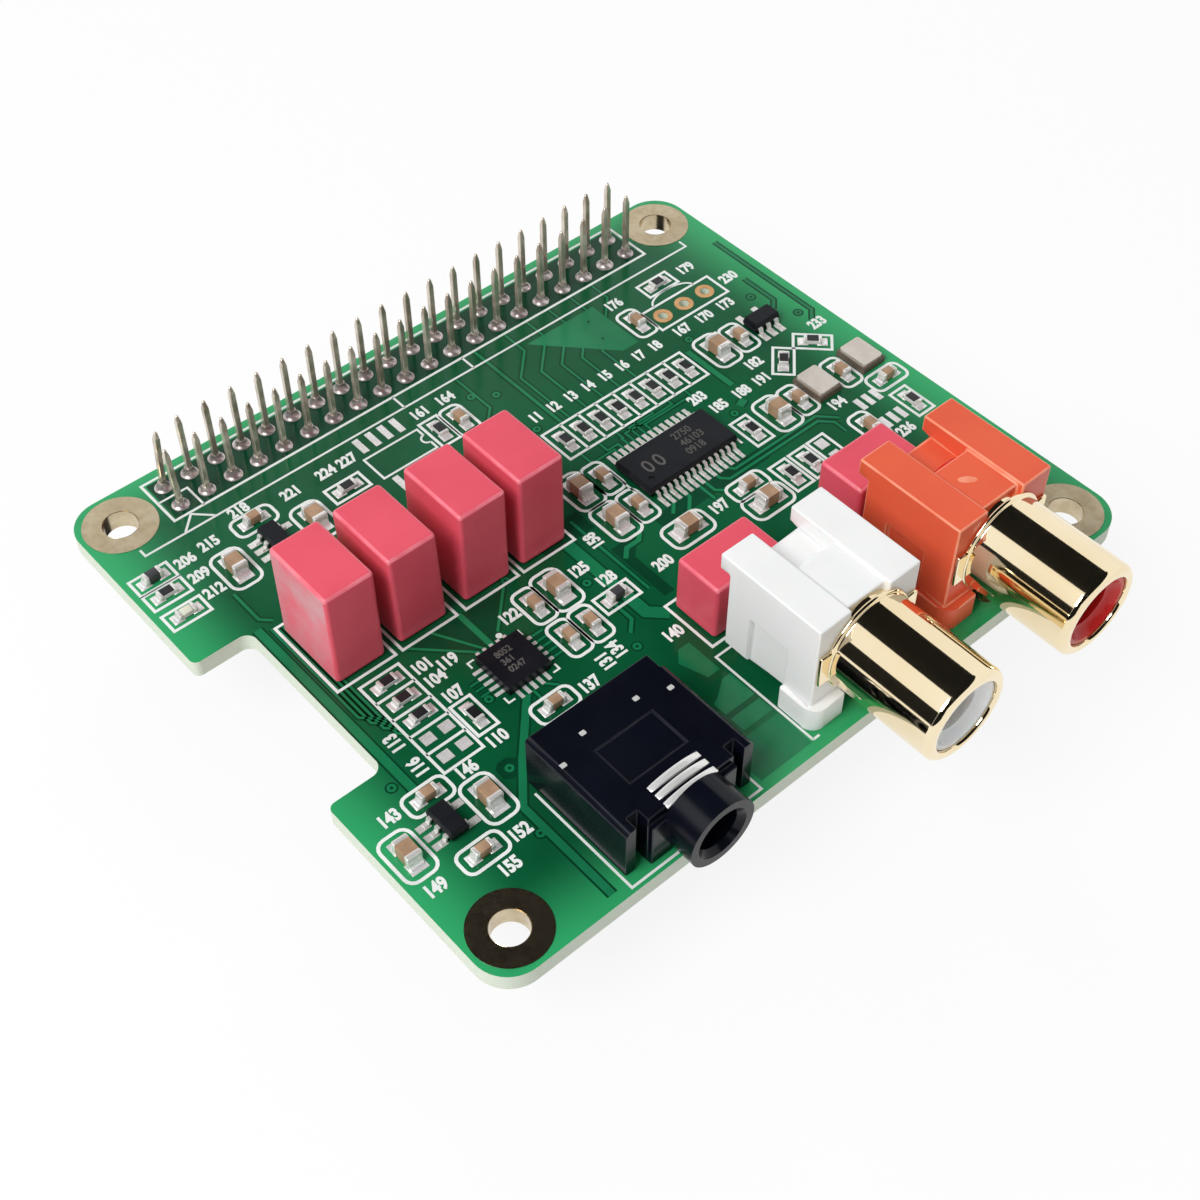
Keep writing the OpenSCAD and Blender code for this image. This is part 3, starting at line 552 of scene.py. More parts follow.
cone = {"foot": 0.76, "height": 0.66, "skirt": 0.05, "neck": 0.06, "hollow": 0.8}
random.seed(4)
bm = bmesh.new()
neck, skirt = header["pinSide"] / 2 + cone["neck"], cone["skirt"]
for side in ("nearY", "farY"):
    for i in range(header["count"]):
        foot = cone["foot"] + random.uniform(-0.03, 0.04)
        high = cone["height"] + random.uniform(-0.12, 0.12)
        profile = [(foot, 0.0)]
        for k in range(7):
            angle = k / 6 * math.pi / 2
            profile.append((foot + (neck - foot) * math.sin(angle),
                            skirt + (high - skirt) * (1 - math.cos(angle)) ** cone["hollow"]))
        profile.append((0.0, high - 0.02))
        x = header["firstX"] + i * header["pitch"] + random.uniform(-0.04, 0.04)
        addLathe(bm, profile, Matrix.Translation(boardPoint(x, header[side])), 20)

# film capacitors, each: its near-left corner, whether it is tall, and how far its top leans
film = {"length": 7.1, "width": 4.5, "tall": 9.4, "low": 5.5, "edge": 0.38, "draft": 0.012,
        # the case whose left face is paler
        "leadPitch": 5.0, "paleSided": "film_capacitor_1",
        "places": [("film_capacitor_1", 7.0, 27.8, True, 0.0),
                   ("film_capacitor_2", 12.9, 27.8, True, -0.28),
                   ("film_capacitor_3", 19.15, 27.8, True, 0.05),
                   ("film_capacitor_4", 24.85, 27.8, True, 0.0),
                   ("film_capacitor_5", 31.0, 12.5, False, 0.0),
                   ("film_capacitor_6", 46.4, 12.6, False, 0.0)]}
phonoX = {"white": 35.6, "red": 49.95}


def filmSize(tall):
    if tall:
        return film["width"], film["length"], film["tall"]
    return film["length"], film["width"], film["low"]


# solder below the board: film capacitors' wires, phono contacts and headphone terminals
coneBelow = [(0.95, 0.0), (0.93, 0.05), (0.75, 0.12), (0.55, 0.3), (0.42, 0.55), (0.36, 0.8),
             (0.0, 0.85)]
below = []
for name, x, y, tall, lean in film["places"]:
    w, l, h = filmSize(tall)
    for half in (-film["leadPitch"] / 2, film["leadPitch"] / 2):
        dx, dy = (0, half) if tall else (half, 0)
        below.append((x + w / 2 + dx, y + l / 2 + dy, 1.0, 20))
below += [(x, y, 1.25, 24) for x in phonoX.values() for y in (1.9, 9.4)]
below += [(x, y, 0.85, 20) for x, y in ((12.6, 8.5), (15.4, 9.7), (20.2, 9.5), (22.7, 8.6))]
downward = Matrix.Rotation(math.pi, 4, "X")
for x, y, scale, segments in below:
    addLathe(bm, [(r * scale, z) for r, z in coneBelow],
             Matrix.Translation(boardPoint(x, y, -board["thickness"])) @ downward, segments)
finishPiece("solder_cones", bm, [coneMetal], ("solder_joints",), 60.0)
dress(tinMetal, "film_capacitor_leads")
print("header made")


def makeFilmCapacitor(name, x, y, tall, lean):
    w, l, h = filmSize(tall)
    bm = bmesh.new()
    addBlock(bm, (w, l, h), (0, 0, 0), x + w / 2, y + l / 2, 0.0, bevel=film["edge"], steps=4,
             draft=film["draft"])
    # the rounded top edges are paler: a painted highlight; one case's left face is paler and
    # rougher
    bm.normal_update()
    for face in bm.faces:
        if face.normal.z > 0.15 and max(abs(n) for n in face.normal) < 0.95:
            face.material_index = 1
        elif face.normal.x < -0.95 and name == film["paleSided"]:
            face.material_index = 2
    base = boardPoint(0, 0).z
    for v in bm.verts:
        v.co.x += lean * (v.co.z - base) / h
    finishPiece(name + "_case", bm, [capacitorRed, capacitorEdgeHighlight, capacitorPaleSide],
                (name,), 40.0)


for place in film["places"]:
    makeFilmCapacitor(*place)
print("film capacitors made")

# phono sockets: places along the barrel run inward from the board's connector edge
phono = {"axis": 6.25, "front": 2.1, "tip": -7.6, "radius": 4.0, "inner": 3.57, "rim": 0.6,
         "lip": 3.1, "collarRadius": 4.25, "collar": 0.35, "spigotEnd": 4.9, "spigotWall": 0.2,
         "wingIn": 3.9, "wingOut": 4.95, "wing": (4.8, 7.8), "coreBack": 8.0, "coreGap": 0.01,
         "shoulder": -6.98, "boss": 3.08, "bossFront": -7.3, "bossEdge": 0.12, "dish": 2.7,
         "dishDepth": 0.75, "sleeve": 1.9, "sleeveEnd": 6.0}


def makePhono(side, bodyMaterials, coreMaterial):
    softened(side + "_phono_housing", 0.14, 3, bodyMaterials, shortest=0.8, clamped=False)
    p = phono
    barrelAxis = (Matrix.Translation(boardPoint(phonoX[side], 0.0, p["axis"]))
                  @ Matrix.Rotation(-math.pi / 2, 4, "X"))
    radius, inner, tip, front = p["radius"], p["inner"], p["tip"], p["front"]
    collar, rear, thin = p["collarRadius"], front - p["collar"], inner + p["spigotWall"]
    profile = [(inner, p["spigotEnd"]), (thin, p["spigotEnd"]), (thin, front),
               (collar - 0.08, front), (collar, front - 0.08), (collar, rear + 0.1),
               (collar - 0.1, rear), (radius + 0.12, rear), (radius + 0.03, rear - 0.05),
               (radius, rear - 0.16)]
    profile += quarterRound(radius, tip, p["rim"], 8)
    profile += [(p["lip"] + 0.08, tip), (p["lip"], tip + 0.08), (p["lip"], tip + 0.4),
                (inner - 0.1, tip + 0.58), (inner, tip + 0.6), (inner, p["spigotEnd"])]
    bm = bmesh.new()
    addLathe(bm, profile, barrelAxis, 96)
    width, (low, high) = p["wingOut"] - p["wingIn"], p["wing"]
    for s in (-1, 1):
        addBlock(bm, (width, p["collar"], high - low),
                 (s * (p["wingIn"] + width / 2), front - p["collar"] / 2, low),
                 phonoX[side], 0.0, 0.0, bevel=0.1)
    finishPiece(side + "_barrel", bm, [goldPlate], (side + "_phono_shell",), 50.0)

    core, sleeve = inner - p["coreGap"], p["sleeve"]
    profile = [(0.0, p["coreBack"]), (core, p["coreBack"]), (core, p["shoulder"]),
               (p["boss"], p["shoulder"])]
    profile += quarterRound(p["boss"], p["bossFront"], p["bossEdge"], 4)
    for k in range(7):
        profile.append((p["dish"] + (sleeve - p["dish"]) * k / 6,
                        p["bossFront"] + p["dishDepth"] * math.sin(k / 6 * math.pi / 2)))
    profile += [(sleeve, p["sleeveEnd"]), (0.0, p["sleeveEnd"])]
    bm = bmesh.new()
    addLathe(bm, profile, barrelAxis, 72)
    finishPiece(side + "_core", bm, [coreMaterial], (side + "_phono_insulator",), 50.0)
    dress(goldPlate, side + "_phono_contact", side + "_phono_ground_tag")


makePhono("white", [phonoWhite], coreWhite)
# the red socket's rounded edges take the paler red: painted highlight
makePhono("red", [phonoRed, phonoRedHighlight], phonoRedCore)


def arc(x, y, radiusX, radiusY, degrees):
    return [(x + radiusX * math.cos(math.radians(t)), y + radiusY * math.sin(math.radians(t)))
            for t in degrees]


def turned(points, x, y, degrees):
    c, s = math.cos(math.radians(degrees)), math.sin(math.radians(degrees))
    return [(x + px * c - py * s, y + px * s + py * c) for px, py in points]


# small mound on the red saddle where the mould was filled; its pale red is a painted highlight
gateMark = {"middle": (49.5, 5.45), "long": 0.75, "wide": 0.34, "top": 10.3, "turn": -38.0,
            "proud": 0.01, "peak": 0.09}
ring = turned(arc(0, 0, gateMark["long"], gateMark["wide"], range(0, 360, 15)),
              *gateMark["middle"], gateMark["turn"])
bm = bmesh.new()
foot = [bm.verts.new(boardPoint(x, y, gateMark["top"] + gateMark["proud"])) for x, y in ring]
peak = bm.verts.new(boardPoint(*gateMark["middle"], gateMark["top"] + gateMark["peak"]))
for k in range(len(foot)):
    bm.faces.new((foot[k - 1], foot[k], peak))
finishPiece("red_gate_mark", bm, [phonoRedHighlight], (), 60.0)
print("phono sockets made")

# headphone socket
# its rounded edges take the paler black: painted highlight
softened("headphone_housing", 0.1, 2, [jackBlack, jackEdgeHighlight], shortest=0.8,
         clamped=False)
softened("headphone_bands", 0.12, 3, [bandMetal], shortest=0.5)
dress(bandMetal, "headphone_terminals")
dress(tinMetal, "headphone_springs")
print("headphone socket made")

# chips
dress(chipBlack, "converter_chip", "amplifier_chip", "regulator_1", "regulator_2", "regulator_3")
dress(tinMetal, "converter_leads", "regulator_leads")
dress(oscillatorCeramic, "oscillator_base_1", "oscillator_base_2")
dress(lidMetal, "oscillator_lid_1", "oscillator_lid_2")

# two-ended chip parts: middle of the part and its turn
rowOfEight = [36.45 + 1.95 * i for i in range(8)]
largeCaps = [(7.85, 42.5, 90), (15.55, 42.6, 90), (1.8, 12.5, 90), (9.05, 12.55, 90),
             (25.3, 24.2, 90), (33.55, 31, 90), (33.6, 26.65, 90), (53.8, 36, 90),
             (52.15, 26.9, 90), (37.35, 22.15, 0), (44.35, 20.15, 0)]
smallCaps = [(31.45, 44, 90), (50.9, 43.3, 90), (56.4, 35.95, 90), (54.6, 26.9, 90),
             (59.85, 26.9, 90), (35.95, 30.9, 90), (36.05, 26.7, 90), (22.95, 24.1, 90),
             (22.9, 19.9, 90), (25.05, 19.9, 90), (56.8, 20.6, 90), (11.8, 45.8, 0), (5.9, 15.5, 0),
             (5.9, 9.3, 0), (17.95, 15.75, 0), (44.3, 22.4, 0), (62.4, 23.9, 0)]
resistors = [(x, 36.15, 90) for x in rowOfEight] + [(9.85, 25.5 - 2 * i, 0) for i in range(3)]
otherResistors = [(12.85, 18.95, 90), (2.35, 43.8, 0), (19.6, 43.8, 0), (29.35, 44.1, 90),
                  (55.85, 46, 0), (57.15, 31.2, 45), (60.85, 31.3, -45), (49.05, 26.85, 90),
                  (47.85, 21, 90), (50.1, 21, 90), (61.85, 20.45, 90)]
beads = [(2.35, 45.8, 0), (28.35, 20.6, 0)]
lampPlace = [(2.4, 41.15, 0)]
chipForm = {"land": 0.05, "landOut": 0.65, "landSide": 0.2, "swell": 0.035, "glaze": 0.07,
            "edge": 0.06, "filletReach": 0.34, "askew": 1.5}


def makeChipParts(places, size, end, bodies, bodyNode, endNode, endPiece, kind="ceramic"):
    l, w, h = size
    land, glaze = chipForm["land"], chipForm["glaze"]
    body, caps = bmesh.new(), bmesh.new()
    for x, y, turn in places:
        spot = (x, y, land, turn + random.uniform(-chipForm["askew"], chipForm["askew"]))
        if kind == "resistor":
            addBlock(body, (l - 0.1, w, h - 0.06), (0, 0, 0), *spot, 0.02, 1, 1)
            addBlock(body, (l - 2 * end - 0.02, w * 0.94, glaze), (0, 0, h - glaze), *spot, 0.02, 1)
        elif kind == "lamp":
            addBlock(body, (l - 0.1, w, h * 0.4), (0, 0, 0), *spot, 0.02, 1, 1)
            addBlock(body, (l - 2 * end, w, h * 0.65), (0, 0, h * 0.35), *spot, 0.08, draft=0.08)
        else:
            addBlock(body, (l - 2 * end + 0.1, w, h), (0, 0, 0), *spot, chipForm["edge"])
        for s in (-1, 1):
            swell = chipForm["swell"]
            addBlock(caps, (end, w + swell, h + swell / 2), (s * (l - end) / 2, 0, 0), *spot,
                     min(0.1, h * 0.2), 3)
            addBlock(caps, (end + chipForm["landOut"], w + chipForm["landSide"], land),
                     (s * (l / 2 + 0.05), 0, -land), *spot, 0.02, 1, 1)
            rise = h * random.uniform(0.5, 0.75)
            addFillet(caps, w * 0.96, rise, chipForm["filletReach"] + 0.08 * random.random(),
                      l / 2 - 0.02, *spot[:3], spot[3] + (180 if s < 0 else 0), 1)
    finishPiece(bodyNode + "_bodies", body, bodies, (bodyNode,), 35.0)
    finishPiece(endPiece, caps, [tinMetal, solderMetal], (endNode,), 50.0)


random.seed(9)
makeChipParts(largeCaps, (2.0, 1.25, 1.2), 0.45, [ceramicTan], "large_ceramic_capacitors",
              "large_capacitor_ends", "large_end_caps")
makeChipParts(smallCaps, (1.6, 0.8, 0.8), 0.35, [ceramicTan], "small_ceramic_capacitors",
              "small_capacitor_ends", "small_end_caps")
makeChipParts(resistors + otherResistors, (1.6, 0.8, 0.45), 0.3, [resistorGlaze, aluminaWhite],
              "chip_resistors", "resistor_ends", "resistor_end_caps", "resistor")
makeChipParts(beads, (1.6, 0.8, 0.8), 0.35, [ferriteBlack], "ferrite_beads",
              "ferrite_ends", "bead_end_caps")
makeChipParts(lampPlace, (1.6, 0.8, 0.45), 0.3, [lampClear, aluminaWhite], "indicator_lamp",
              "indicator_ends", "lamp_end_caps", "lamp")
print("chip parts made")

# white print on the board
ink = {"width": 0.24, "thin": 0.2, "thinnest": 0.18, "outline": 0.27, "thick": 0.025,
       "sunk": -0.005, "digitHeight": 1.1, "digitThick": 0.012}
fullTurn = [22.5 * k for k in range(16)]


def addRibbon(bm, points, width, closed=False, top=ink["thick"], material=0):
    # flat raised line through board points in mm
    count = len(points)
    pairs = []
    for i, (x, y) in enumerate(points):
        before = points[i - 1] if (i or closed) else None
        after = points[(i + 1) % count] if (i < count - 1 or closed) else None
        normals = []
        for p, q in ((before, (x, y)), ((x, y), after)):
            if p and q:
                dx, dy = q[0] - p[0], q[1] - p[1]
                length = math.hypot(dx, dy) or 1.0
                normals.append((-dy / length, dx / length))
        nx, ny = (sum(n[k] for n in normals) / len(normals) for k in (0, 1))
        reach = width / 2 / max(nx * nx + ny * ny, 0.3)  # a mitre, kept short at sharp turns
        pairs.append([[bm.verts.new(boardPoint(x + s * nx * reach, y + s * ny * reach, z))
                       for z in (top, ink["sunk"])] for s in (-1, 1)])
    for i in range(count if closed else count - 1):
        (a1, a0), (b1, b0) = pairs[i]
        (c1, c0), (d1, d0) = pairs[(i + 1) % count]
        for loop in ((a1, c1, d1, b1), (a1, a0, c0, c1), (b1, d1, d0, b0)):
            bm.faces.new(loop).material_index = material
    if not closed:
        for (a1, a0), (b1, b0) in (pairs[0], pairs[-1]):
            bm.faces.new((a1, b1, b0, a0)).material_index = material


def addRectangle(bm, x1, y1, x2, y2, width=ink["width"], corner=0.0, turn=0.0):
    hx, hy = (x2 - x1) / 2 - corner, (y2 - y1) / 2 - corner
    points = []
    for sx, sy, start in ((1, 1, 0), (-1, 1, 90), (-1, -1, 180), (1, -1, 270)):
        angles = [start + 22.5 * k for k in range(5)] if corner else [start]
        points += arc(sx * hx, sy * hy, corner, corner, angles)
    addRibbon(bm, turned(points, (x1 + x2) / 2, (y1 + y2) / 2, turn), width, True)


def addDigits(bm, words, x, y, height, turn, z=0.0, narrow=0.78, bold=0.07):
    # plain numbers from the built-in face, drawn narrow
    curve = bpy.data.curves.new("digits", "FONT")
    curve.body = words
    curve.size = height * 1.35 * mm
    curve.align_x, curve.align_y = "CENTER", "CENTER"
    curve.offset = bold * mm
    curve.extrude = ink["digitThick"] * mm
    curve.resolution_u = 3
    holder = addObject("digits", curve)
    bpy.context.view_layer.update()
    shown = holder.evaluated_get(bpy.context.evaluated_depsgraph_get())
    mesh = bpy.data.meshes.new_from_object(shown)
    matrix = (Matrix.Translation(boardPoint(x, y, z + ink["digitThick"]))
              @ Matrix.Rotation(math.radians(turn), 4, "Z"))
    mesh.transform(matrix @ Matrix.Diagonal((narrow, 1, 1, 1)))
    bm.from_mesh(mesh)
    bpy.data.objects.remove(holder)
    bpy.data.curves.remove(curve)
    bpy.data.meshes.remove(mesh)


def addPatch(bm, points, top, material=0):
    upper, lower = ([bm.verts.new(boardPoint(x, y, z)) for x, y in points]
                    for z in (top, ink["sunk"]))
    bm.faces.new(upper).material_index = material
    for k in range(len(points)):
        bm.faces.new((upper[k - 1], lower[k - 1], lower[k], upper[k])).material_index = material


# outlines of the header, film capacitors, row of eight, row of five and three pads
boxes = [(7.0, 50.0, 57.9, 55.05), (6.6, 27.3, 12.0, 35.4), (12.65, 27.3, 17.9, 35.4),
         (18.75, 27.3, 24.0, 35.4), (24.55, 27.3, 29.8, 35.4), (30.45, 12.1, 38.6, 17.4),
         (45.9, 12.1, 54.1, 17.5), (35.4, 34.3, 51.1, 38.0), (8.0, 16.3, 11.6, 26.5),
         (52.0, 41.1, 60.0, 43.9)]
# pin-one corner, lines beside the header, headphone socket, empty chip place and long chip
thinLines = [[(9.8, 50.0), (9.8, 52.5), (7.1, 52.5)], [(7.0, 48.4), (8.4, 49.8), (9.8, 48.4)],
             [(3.2, 49.1), (3.2, 48.3), (61.5, 48.3), (61.5, 49.2)],
             [(28.85, 48.3), (28.85, 50.0)], [(36.4, 48.3), (36.4, 50.0)],
             [(11.75, 10.7), (11.75, 0.4), (24.1, 0.4), (24.1, 10.7)],
             [(28, 44.6), (28, 45.5), (22.5, 45.5), (22.5, 42.7), (28, 42.7), (28, 43.6)],
             [(36.9, 26.3), (36.9, 31.2)], [(47.4, 26.3), (47.4, 31.2)]]
for x in phonoX.values():
    thinLines += [[(x - 5.65, 1.0), (x - 5.65, 11.2), (x + 5.65, 11.2), (x + 5.65, 1.0)],
                  [(x - 5.65, 1.0), (x - 5.0, 1.0)]]
bars = [[(37.4 + 1.95 * i, 34.3), (37.4 + 1.95 * i, 38.0)] for i in range(7)]
bars += [[(8.0, 18.4 + 2.02 * i), (11.6, 18.4 + 2.02 * i)] for i in range(4)]
# round notch of the empty chip place, and the arc over the three pads
arcs = [arc(28, 44.1, 0.5, 0.5, range(90, 271, 20)), arc(55.9, 43.9, 2.4, 1.1, range(0, 181, 15))]
# outlines by kind of part: half length, half width, line width and corner radius
outlines = [(largeCaps, 2.15, 1.35, ink["outline"], 0.8),
            (smallCaps, 1.9, 1.05, ink["outline"], 0.65),
            (otherResistors + beads + lampPlace + [(52.3, 21, 90)], 1.7, 0.93, 0.25, 0.0)]
bm = bmesh.new()
for box in boxes:
    addRectangle(bm, *box)
for lines, width in ((thinLines, ink["thin"]), (bars, ink["width"]), (arcs, ink["thinnest"])):
    for points in lines:
        addRibbon(bm, points, width)
for places, hx, hy, width, corner in outlines:
    for x, y, turn in places:
        addRectangle(bm, x - hx, y - hy, x + hx, y + hy, width, corner, turn)
# corners of the square chip, and pin-one dots
for sx in (-1, 1):
    for sy in (-1, 1):
        x, y = 17.95 + sx * 2.45, 20.6 + sy * 2.45
        addRibbon(bm, [(x - sx * 0.6, y), (x, y), (x, y - sy * 0.6)], 0.16)
for x, y in ((19.0, 23.6), (36.4, 25.6)):
    addPatch(bm, arc(x, y, 0.27, 0.27, fullTurn), ink["thick"])
# plain running numbers beside the parts: middle of the number and its turn
labels = [(12.8, 25.1, 0), (12.8, 23.5, 0), (12.9, 21.5, 0), (12.8, 16.2, 0), (6.96, 20.8, 90),
          (6.96, 18.0, 90), (14.5, 24.2, 0), (20.8, 24.5, 0), (27.9, 24.6, 0), (28.9, 22.5, 0),
          (23.5, 16.4, 90), (24.9, 16.7, 90), (21.1, 15.5, 0), (29.1, 15.0, 0), (2.7, 15.8, 0),
          (9.4, 15.5, 0), (1.7, 9.2, 0), (8.9, 8.9, 0), (6.6, 7.2, 0), (30.9, 26.2, 90),
          (29.4, 46.9, 0), (32.1, 46.9, 0), (53.3, 40.0, 0), (56.0, 40.0, 0), (58.6, 40.0, 0),
          (51.0, 46.5, 0), (59.3, 46.0, 0), (55.0, 32.7, 0), (49.0, 30.8, 0), (51.7, 30.8, 0),
          (54.1, 30.8, 0), (56.8, 24.4, 0), (40.9, 22.3, 0), (33.4, 20.8, 0), (48.3, 32.7, 0),
          (5.3, 45.8, 0), (5.3, 43.8, 0), (5.3, 41.7, 0), (7.7, 46.1, 0), (11.5, 47.55, 0),
          (15.8, 46.4, 0), (19.3, 46.4, 0), (21.4, 46.4, 0), (61.4, 42.5, 0), (63.0, 32.8, 0),
          (58.9, 18.4, 0), (31.6, 33.4, 0)]
for i, (x, y, turn) in enumerate(labels):
    addDigits(bm, str(101 + 3 * i), x, y, ink["digitHeight"], turn)
for i, x in enumerate(rowOfEight):
    addDigits(bm, str(11 + i), x, 40.0, ink["digitHeight"], 0)
finishPiece("white_print", bm, [silkInk])

# plain numbers on the two larger chips: words, middle, height and level
chipWords = [("0", 38.9, 28.6, 1.5, 1.1), ("0", 40.1, 28.6, 1.5, 1.1),
             ("2750", 43.6, 29.75, 0.8, 1.1), ("46103", 43.9, 28.75, 0.8, 1.1),
             ("0918", 43.4, 27.75, 0.8, 1.1), ("8052", 17.8, 21.6, 0.62, 0.9),
             ("361", 17.6, 20.75, 0.62, 0.9), ("0247", 17.8, 19.9, 0.62, 0.9)]
bm = bmesh.new()
for words, x, y, height, top in chipWords:
    addDigits(bm, words, x, y, height, 0, top, 0.9, 0.02)
finishPiece("chip_print", bm, [chipMark])

# copper under the mask: paths stand a hair above the board, each in its dark gap
# a via is three discs: radius, level and material
copper = {"path": 0.012, "gap": 0.006, "clearance": 0.16,
          "via": [(0.5, 0.007, 1), (0.36, 0.014, 0), (0.14, 0.016, 1)]}
paths = [(0.7, [(5.5, 36.2), (5.5, 16.6)]),
         (0.6, [(17.0, 17.9), (13.0, 13.6), (10.4, 10.4), (10.4, 0.9)]),
         (0.22, [(13.0, 27.2), (17.1, 23.1)]), (0.22, [(15.3, 27.2), (17.35, 23.4)]),
         (0.5, [(18.0, 27.3), (18.0, 23.0)]), (0.22, [(19.2, 24.0), (22.6, 27.4)]),
         (0.22, [(18.6, 17.9), (19.4, 17.0)]), (0.22, [(17.6, 17.9), (17.6, 16.8)]),
         (1.1, [(29.0, 27.2), (29.0, 18.0), (30.3, 16.7)]), (0.25, [(30.8, 29.0), (30.8, 19.6)]),
         (0.22, [(34.3, 48.1), (34.3, 43.5), (33.2, 42.4)]), (0.3, [(37.7, 50.0), (37.7, 38.2)]),
         (0.3, [(39.9, 25.2), (39.9, 24.7), (38.3, 23.1)]), (0.3, [(38.6, 25.2), (37.6, 24.2)]),
         (0.25, [(41.3, 25.2), (41.3, 23.2)]), (0.25, [(41.95, 25.2), (41.95, 23.9), (42.6, 23.3)]),
         (0.25, [(43.2, 25.2), (43.2, 24.6), (43.8, 24.0), (54.0, 24.0), (55.0, 23.0),
                 (55.0, 21.6)]),
         (0.25, [(44.5, 25.2), (44.5, 25.0), (44.9, 24.55), (54.3, 24.55), (55.7, 23.1)]),
         (0.4, [(34.6, 24.9), (33.6, 23.9), (32.3, 23.9), (31.5, 23.1)]),
         (0.55, [(51.7, 37.6), (51.7, 32.0)]), (0.7, [(50.4, 29.7), (51.2, 30.0)]),
         (0.3, [(63.9, 47.0), (63.9, 34.4), (62.9, 33.4)]),
         (0.3, [(62.3, 41.4), (62.3, 37.6), (61.4, 36.7)]),
         (0.3, [(26.7, 17.2), (27.7, 18.2), (27.7, 21.8)]),
         (0.25, [(6.2, 40.4), (6.2, 37.0), (7.0, 36.2)])]
paths += [(0.2, [(6.35 + 0.42 * i, 35.6), (6.35 + 0.42 * i, 24.4 - i), (7.95, 22.8 - 0.6 * i)])
          for i in range(4)]
paths += [(0.22, [(20.5, 19.3 + 0.65 * i), (21.9, 19.3 + 0.65 * i)]) for i in range(5)]
paths += [(0.2, [(14.3, 19.9 + 0.65 * i), (15.4, 19.9 + 0.65 * i)]) for i in range(3)]
paths += [(0.2, [(38.6 + 1.9 * i, 38.2), (38.6 + 1.9 * i, 44.6 - 0.5 * i),
                 (41.1 + 2.54 * i, 47.1 + 0.14 * i), (41.1 + 2.54 * i, 50.0)]) for i in range(5)]
for i in range(7):
    x, level = 38.9 + 0.65 * i, 33.9 - 0.28 * abs(i - 4)
    paths.append((0.2, [(x, 32.3), (x, level), (rowOfEight[i], level), (rowOfEight[i], 34.6)]))
patches = [[(26.75, 8.1), (27.3, 8.3), (28.9, 9.4), (29.7, 9.4), (29.7, 6.8), (26.75, 6.8)],
           [(26.75, 6.3), (29.7, 6.3), (29.7, 4.9), (26.75, 4.9)],
           [(24.6, 4.4), (29.7, 4.4), (29.7, 0.9), (24.6, 0.9)],
           [(27.4, 12.6), (28.3, 13.6), (29.4, 13.6), (29.4, 10.2), (28.2, 10.2)],
           [(41.8, 47.6), (49.4, 47.6), (49.4, 41.4), (47.6, 41.4)]]
# the last dark patch, beside the fourth film capacitor's foot, is painted shadow
darkPatches = [[(7.3, 54.8), (7.3, 50.2), (57.6, 50.2), (57.6, 54.8)],
               [(13.4, 27.1), (17.0, 23.4), (18.9, 23.4), (22.2, 27.1)],
               [(10.9, 13.1), (11.4, 12.7), (12.2, 12.7), (12.7, 13.2), (12.7, 14.0), (12.2, 14.5),
                (11.4, 14.5), (10.9, 14.1)],
               [(31.2, 24.6), (31.2, 18.2), (32.2, 18.2), (32.2, 22.8), (34.2, 24.6)],
               [(36.0, 25.0), (48.0, 25.0), (48.0, 23.6), (36.0, 23.6)],
               [(26.9, 29.6), (31.9, 29.6), (31.9, 27.3), (26.9, 27.3)]]
vias = [(14.6, 19.4), (11.8, 13.6), (27.5, 23.2), (22.9, 27.6), (33.9, 45.6), (35.7, 44.4),
        (47.3, 43.8), (47.8, 46.3), (61.0, 39.2), (49.4, 29.3), (62.7, 34.9), (26.2, 15.9),
        (9.9, 7.9), (4.4, 17.8), (35.6, 38.9), (52.9, 38.7)]
bm = bmesh.new()
for points in darkPatches:
    addPatch(bm, points, copper["gap"] - 0.002, 1)
for extra, top, layer in ((2 * copper["clearance"], copper["gap"], 1), (0.0, copper["path"], 0)):
    for width, points in paths:
        addRibbon(bm, points, width + extra, False, top, layer)
for points in patches:
    addPatch(bm, points, copper["path"] - 0.003)
for x, y in vias:
    for radius, top, layer in copper["via"]:
        addPatch(bm, arc(x, y, radius, radius, fullTurn), top, layer)
finishPiece("copper_paths", bm, [copperUnderMask, bareMaskAndShadow])
print("print and copper made")


def splitLight(owner, litKind, litValues, shownKind, share, outputKind):
    # lit is what gives light and takes shadow; white shows where the camera or a mirror looks
    owner.use_nodes = True
    tree = owner.node_tree
    tree.nodes.clear()
    lit = addNode(tree, litKind, **litValues)
    shown = addNode(tree, shownKind, Color=colour(1, 1, 1), Strength=1.0)
    path = addNode(tree, "LightPath").outputs
    mirrored = mathNode(tree, "MAXIMUM", path["Is Glossy Ray"], path["Is Transmission Ray"])
    seen = mathNode(tree, "MAXIMUM", path["Is Camera Ray"], mirrored)
    mix = addNode(tree, "MixShader")
    feed(tree, mix, {0: mathNode(tree, "MULTIPLY", seen, share), 1: lit.outputs[0],
                     2: shown.outputs[0]})
    feed(tree, addNode(tree, outputKind), {0: mix.outputs[0]})


def stagePlane(name, corners, material):
    bm = bmesh.new()
    bm.faces.new([bm.verts.new(corner) for corner in corners])
    plane = addMesh(name, bm, material)
    return plane


# floor, world, lamps and cards, in metres
studio = {"floorHalf": 1.5, "floorGap": 0.00005, "floorTone": 0.85, "floorShare": 0.88,
          "sky": (0.96, 0.98, 1.0), "skyStrength": 0.40, "cardTone": 0.004}

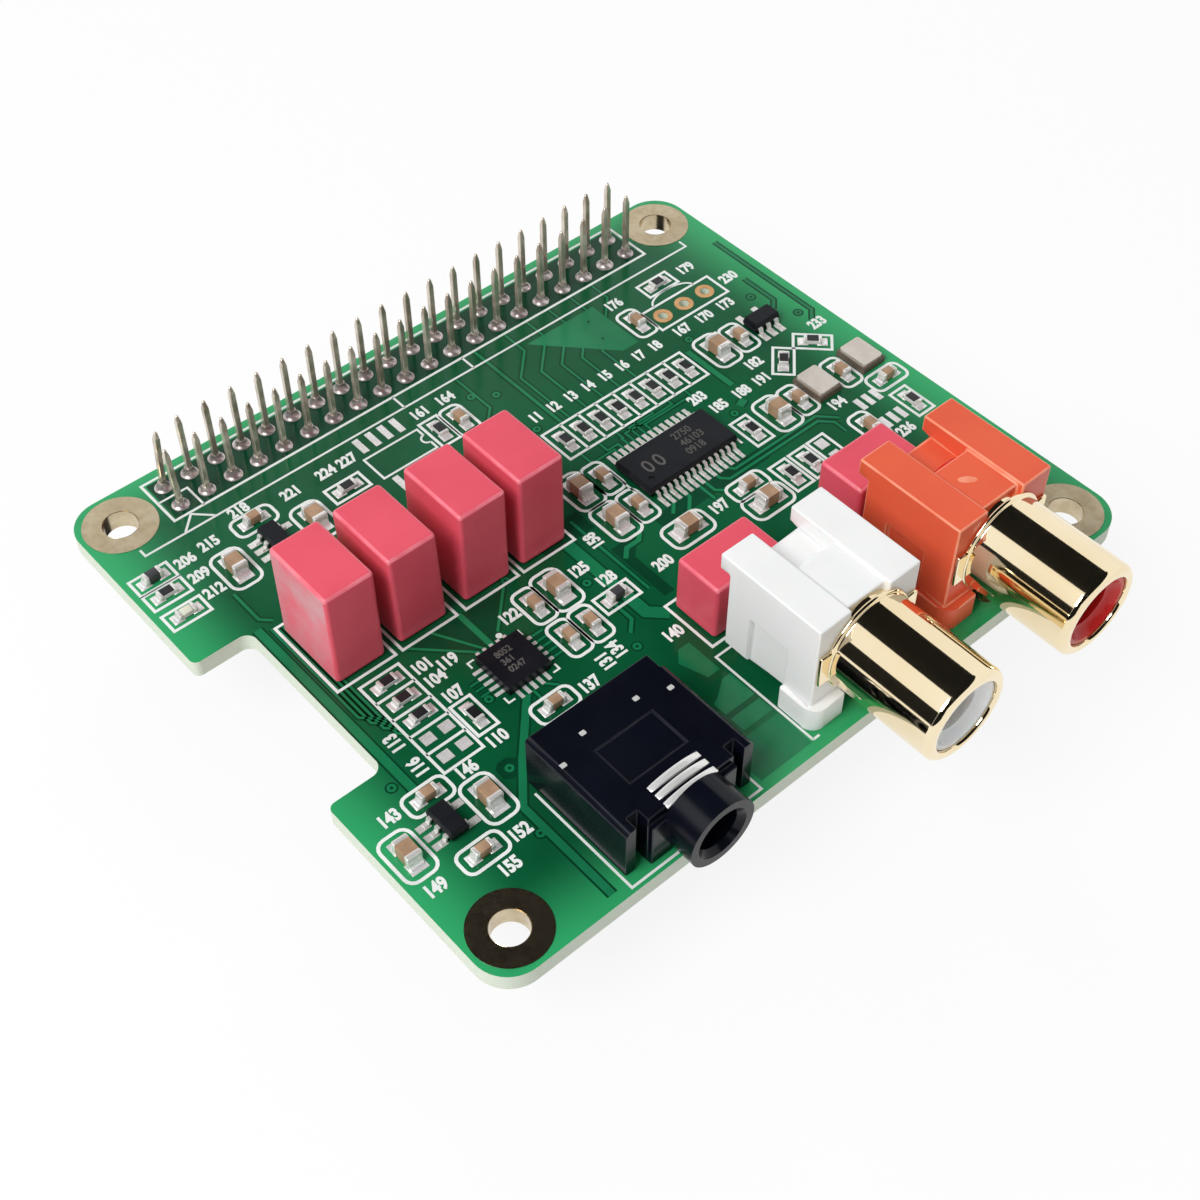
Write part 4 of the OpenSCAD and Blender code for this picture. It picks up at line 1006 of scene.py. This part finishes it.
floorMaterial = bpy.data.materials.new("pale floor")
splitLight(floorMaterial, "BsdfDiffuse", {"Color": colour(*[studio["floorTone"]] * 3)},
           "Emission", studio["floorShare"], "OutputMaterial")
half, level = studio["floorHalf"], cadBounds[0][2] - studio["floorGap"]
stagePlane("floor", [(-half, -half, level), (half, -half, level), (half, half, level),
                     (-half, half, level)], floorMaterial)

scene.world = bpy.data.worlds.new("studio")
splitLight(scene.world, "Background",
           {"Color": colour(*studio["sky"]), "Strength": studio["skyStrength"]},
           "Background", 1.0, "OutputWorld")

lamps = {"key": {"place": (-0.33, -0.03, 0.38), "size": 0.26, "power": 2.1, "mirrored": True},
         "back": {"place": (0.32, 0.40, 0.36), "size": 0.22, "power": 0.8, "mirrored": False}}
for name, values in lamps.items():
    data = bpy.data.lights.new(name, "AREA")
    data.energy, data.size = values["power"], values["size"]
    lamp = addObject(name, data)
    lamp.visible_glossy = values["mirrored"]
    lamp.location = values["place"]
    lamp.rotation_euler = Vector(values["place"]).to_track_quat("Z", "Y").to_euler()

# dark cards, seen only in reflections: they give the gold its dark stripes and keep the board deep
cards = {"overhead": [(-0.17, -1.0, 0.42), (0.39, -1.0, 0.42), (0.39, 0.36, 0.42),
                      (-0.17, 0.36, 0.42)],
         "left": [(-0.36, -0.02, -0.008), (-0.36, 0.5, -0.008), (-0.36, 0.5, 0.2),
                  (-0.36, -0.02, 0.2)],
         "arch_top": [(-0.5, -1.0, 0.42), (-0.171, -1.0, 0.42), (-0.171, -0.04, 0.42),
                      (-0.5, -0.04, 0.42)],
         "arch_left": [(-0.5, -1.0, -0.008), (-0.5, -0.04, -0.008), (-0.5, -0.04, 0.42),
                       (-0.5, -1.0, 0.42)]}
cardMaterial, tree, shader = startMaterial("dark card")
feed(tree, shader, {"Base Color": colour(*[studio["cardTone"]] * 3), "Roughness": 1.0})
for name, corners in cards.items():
    card = stagePlane(name + "_card", corners, cardMaterial)
    card.visible_camera = card.visible_diffuse = False
    card.visible_shadow = card.visible_transmission = False

scene.view_settings.view_transform = "Standard"
print("stage lit")
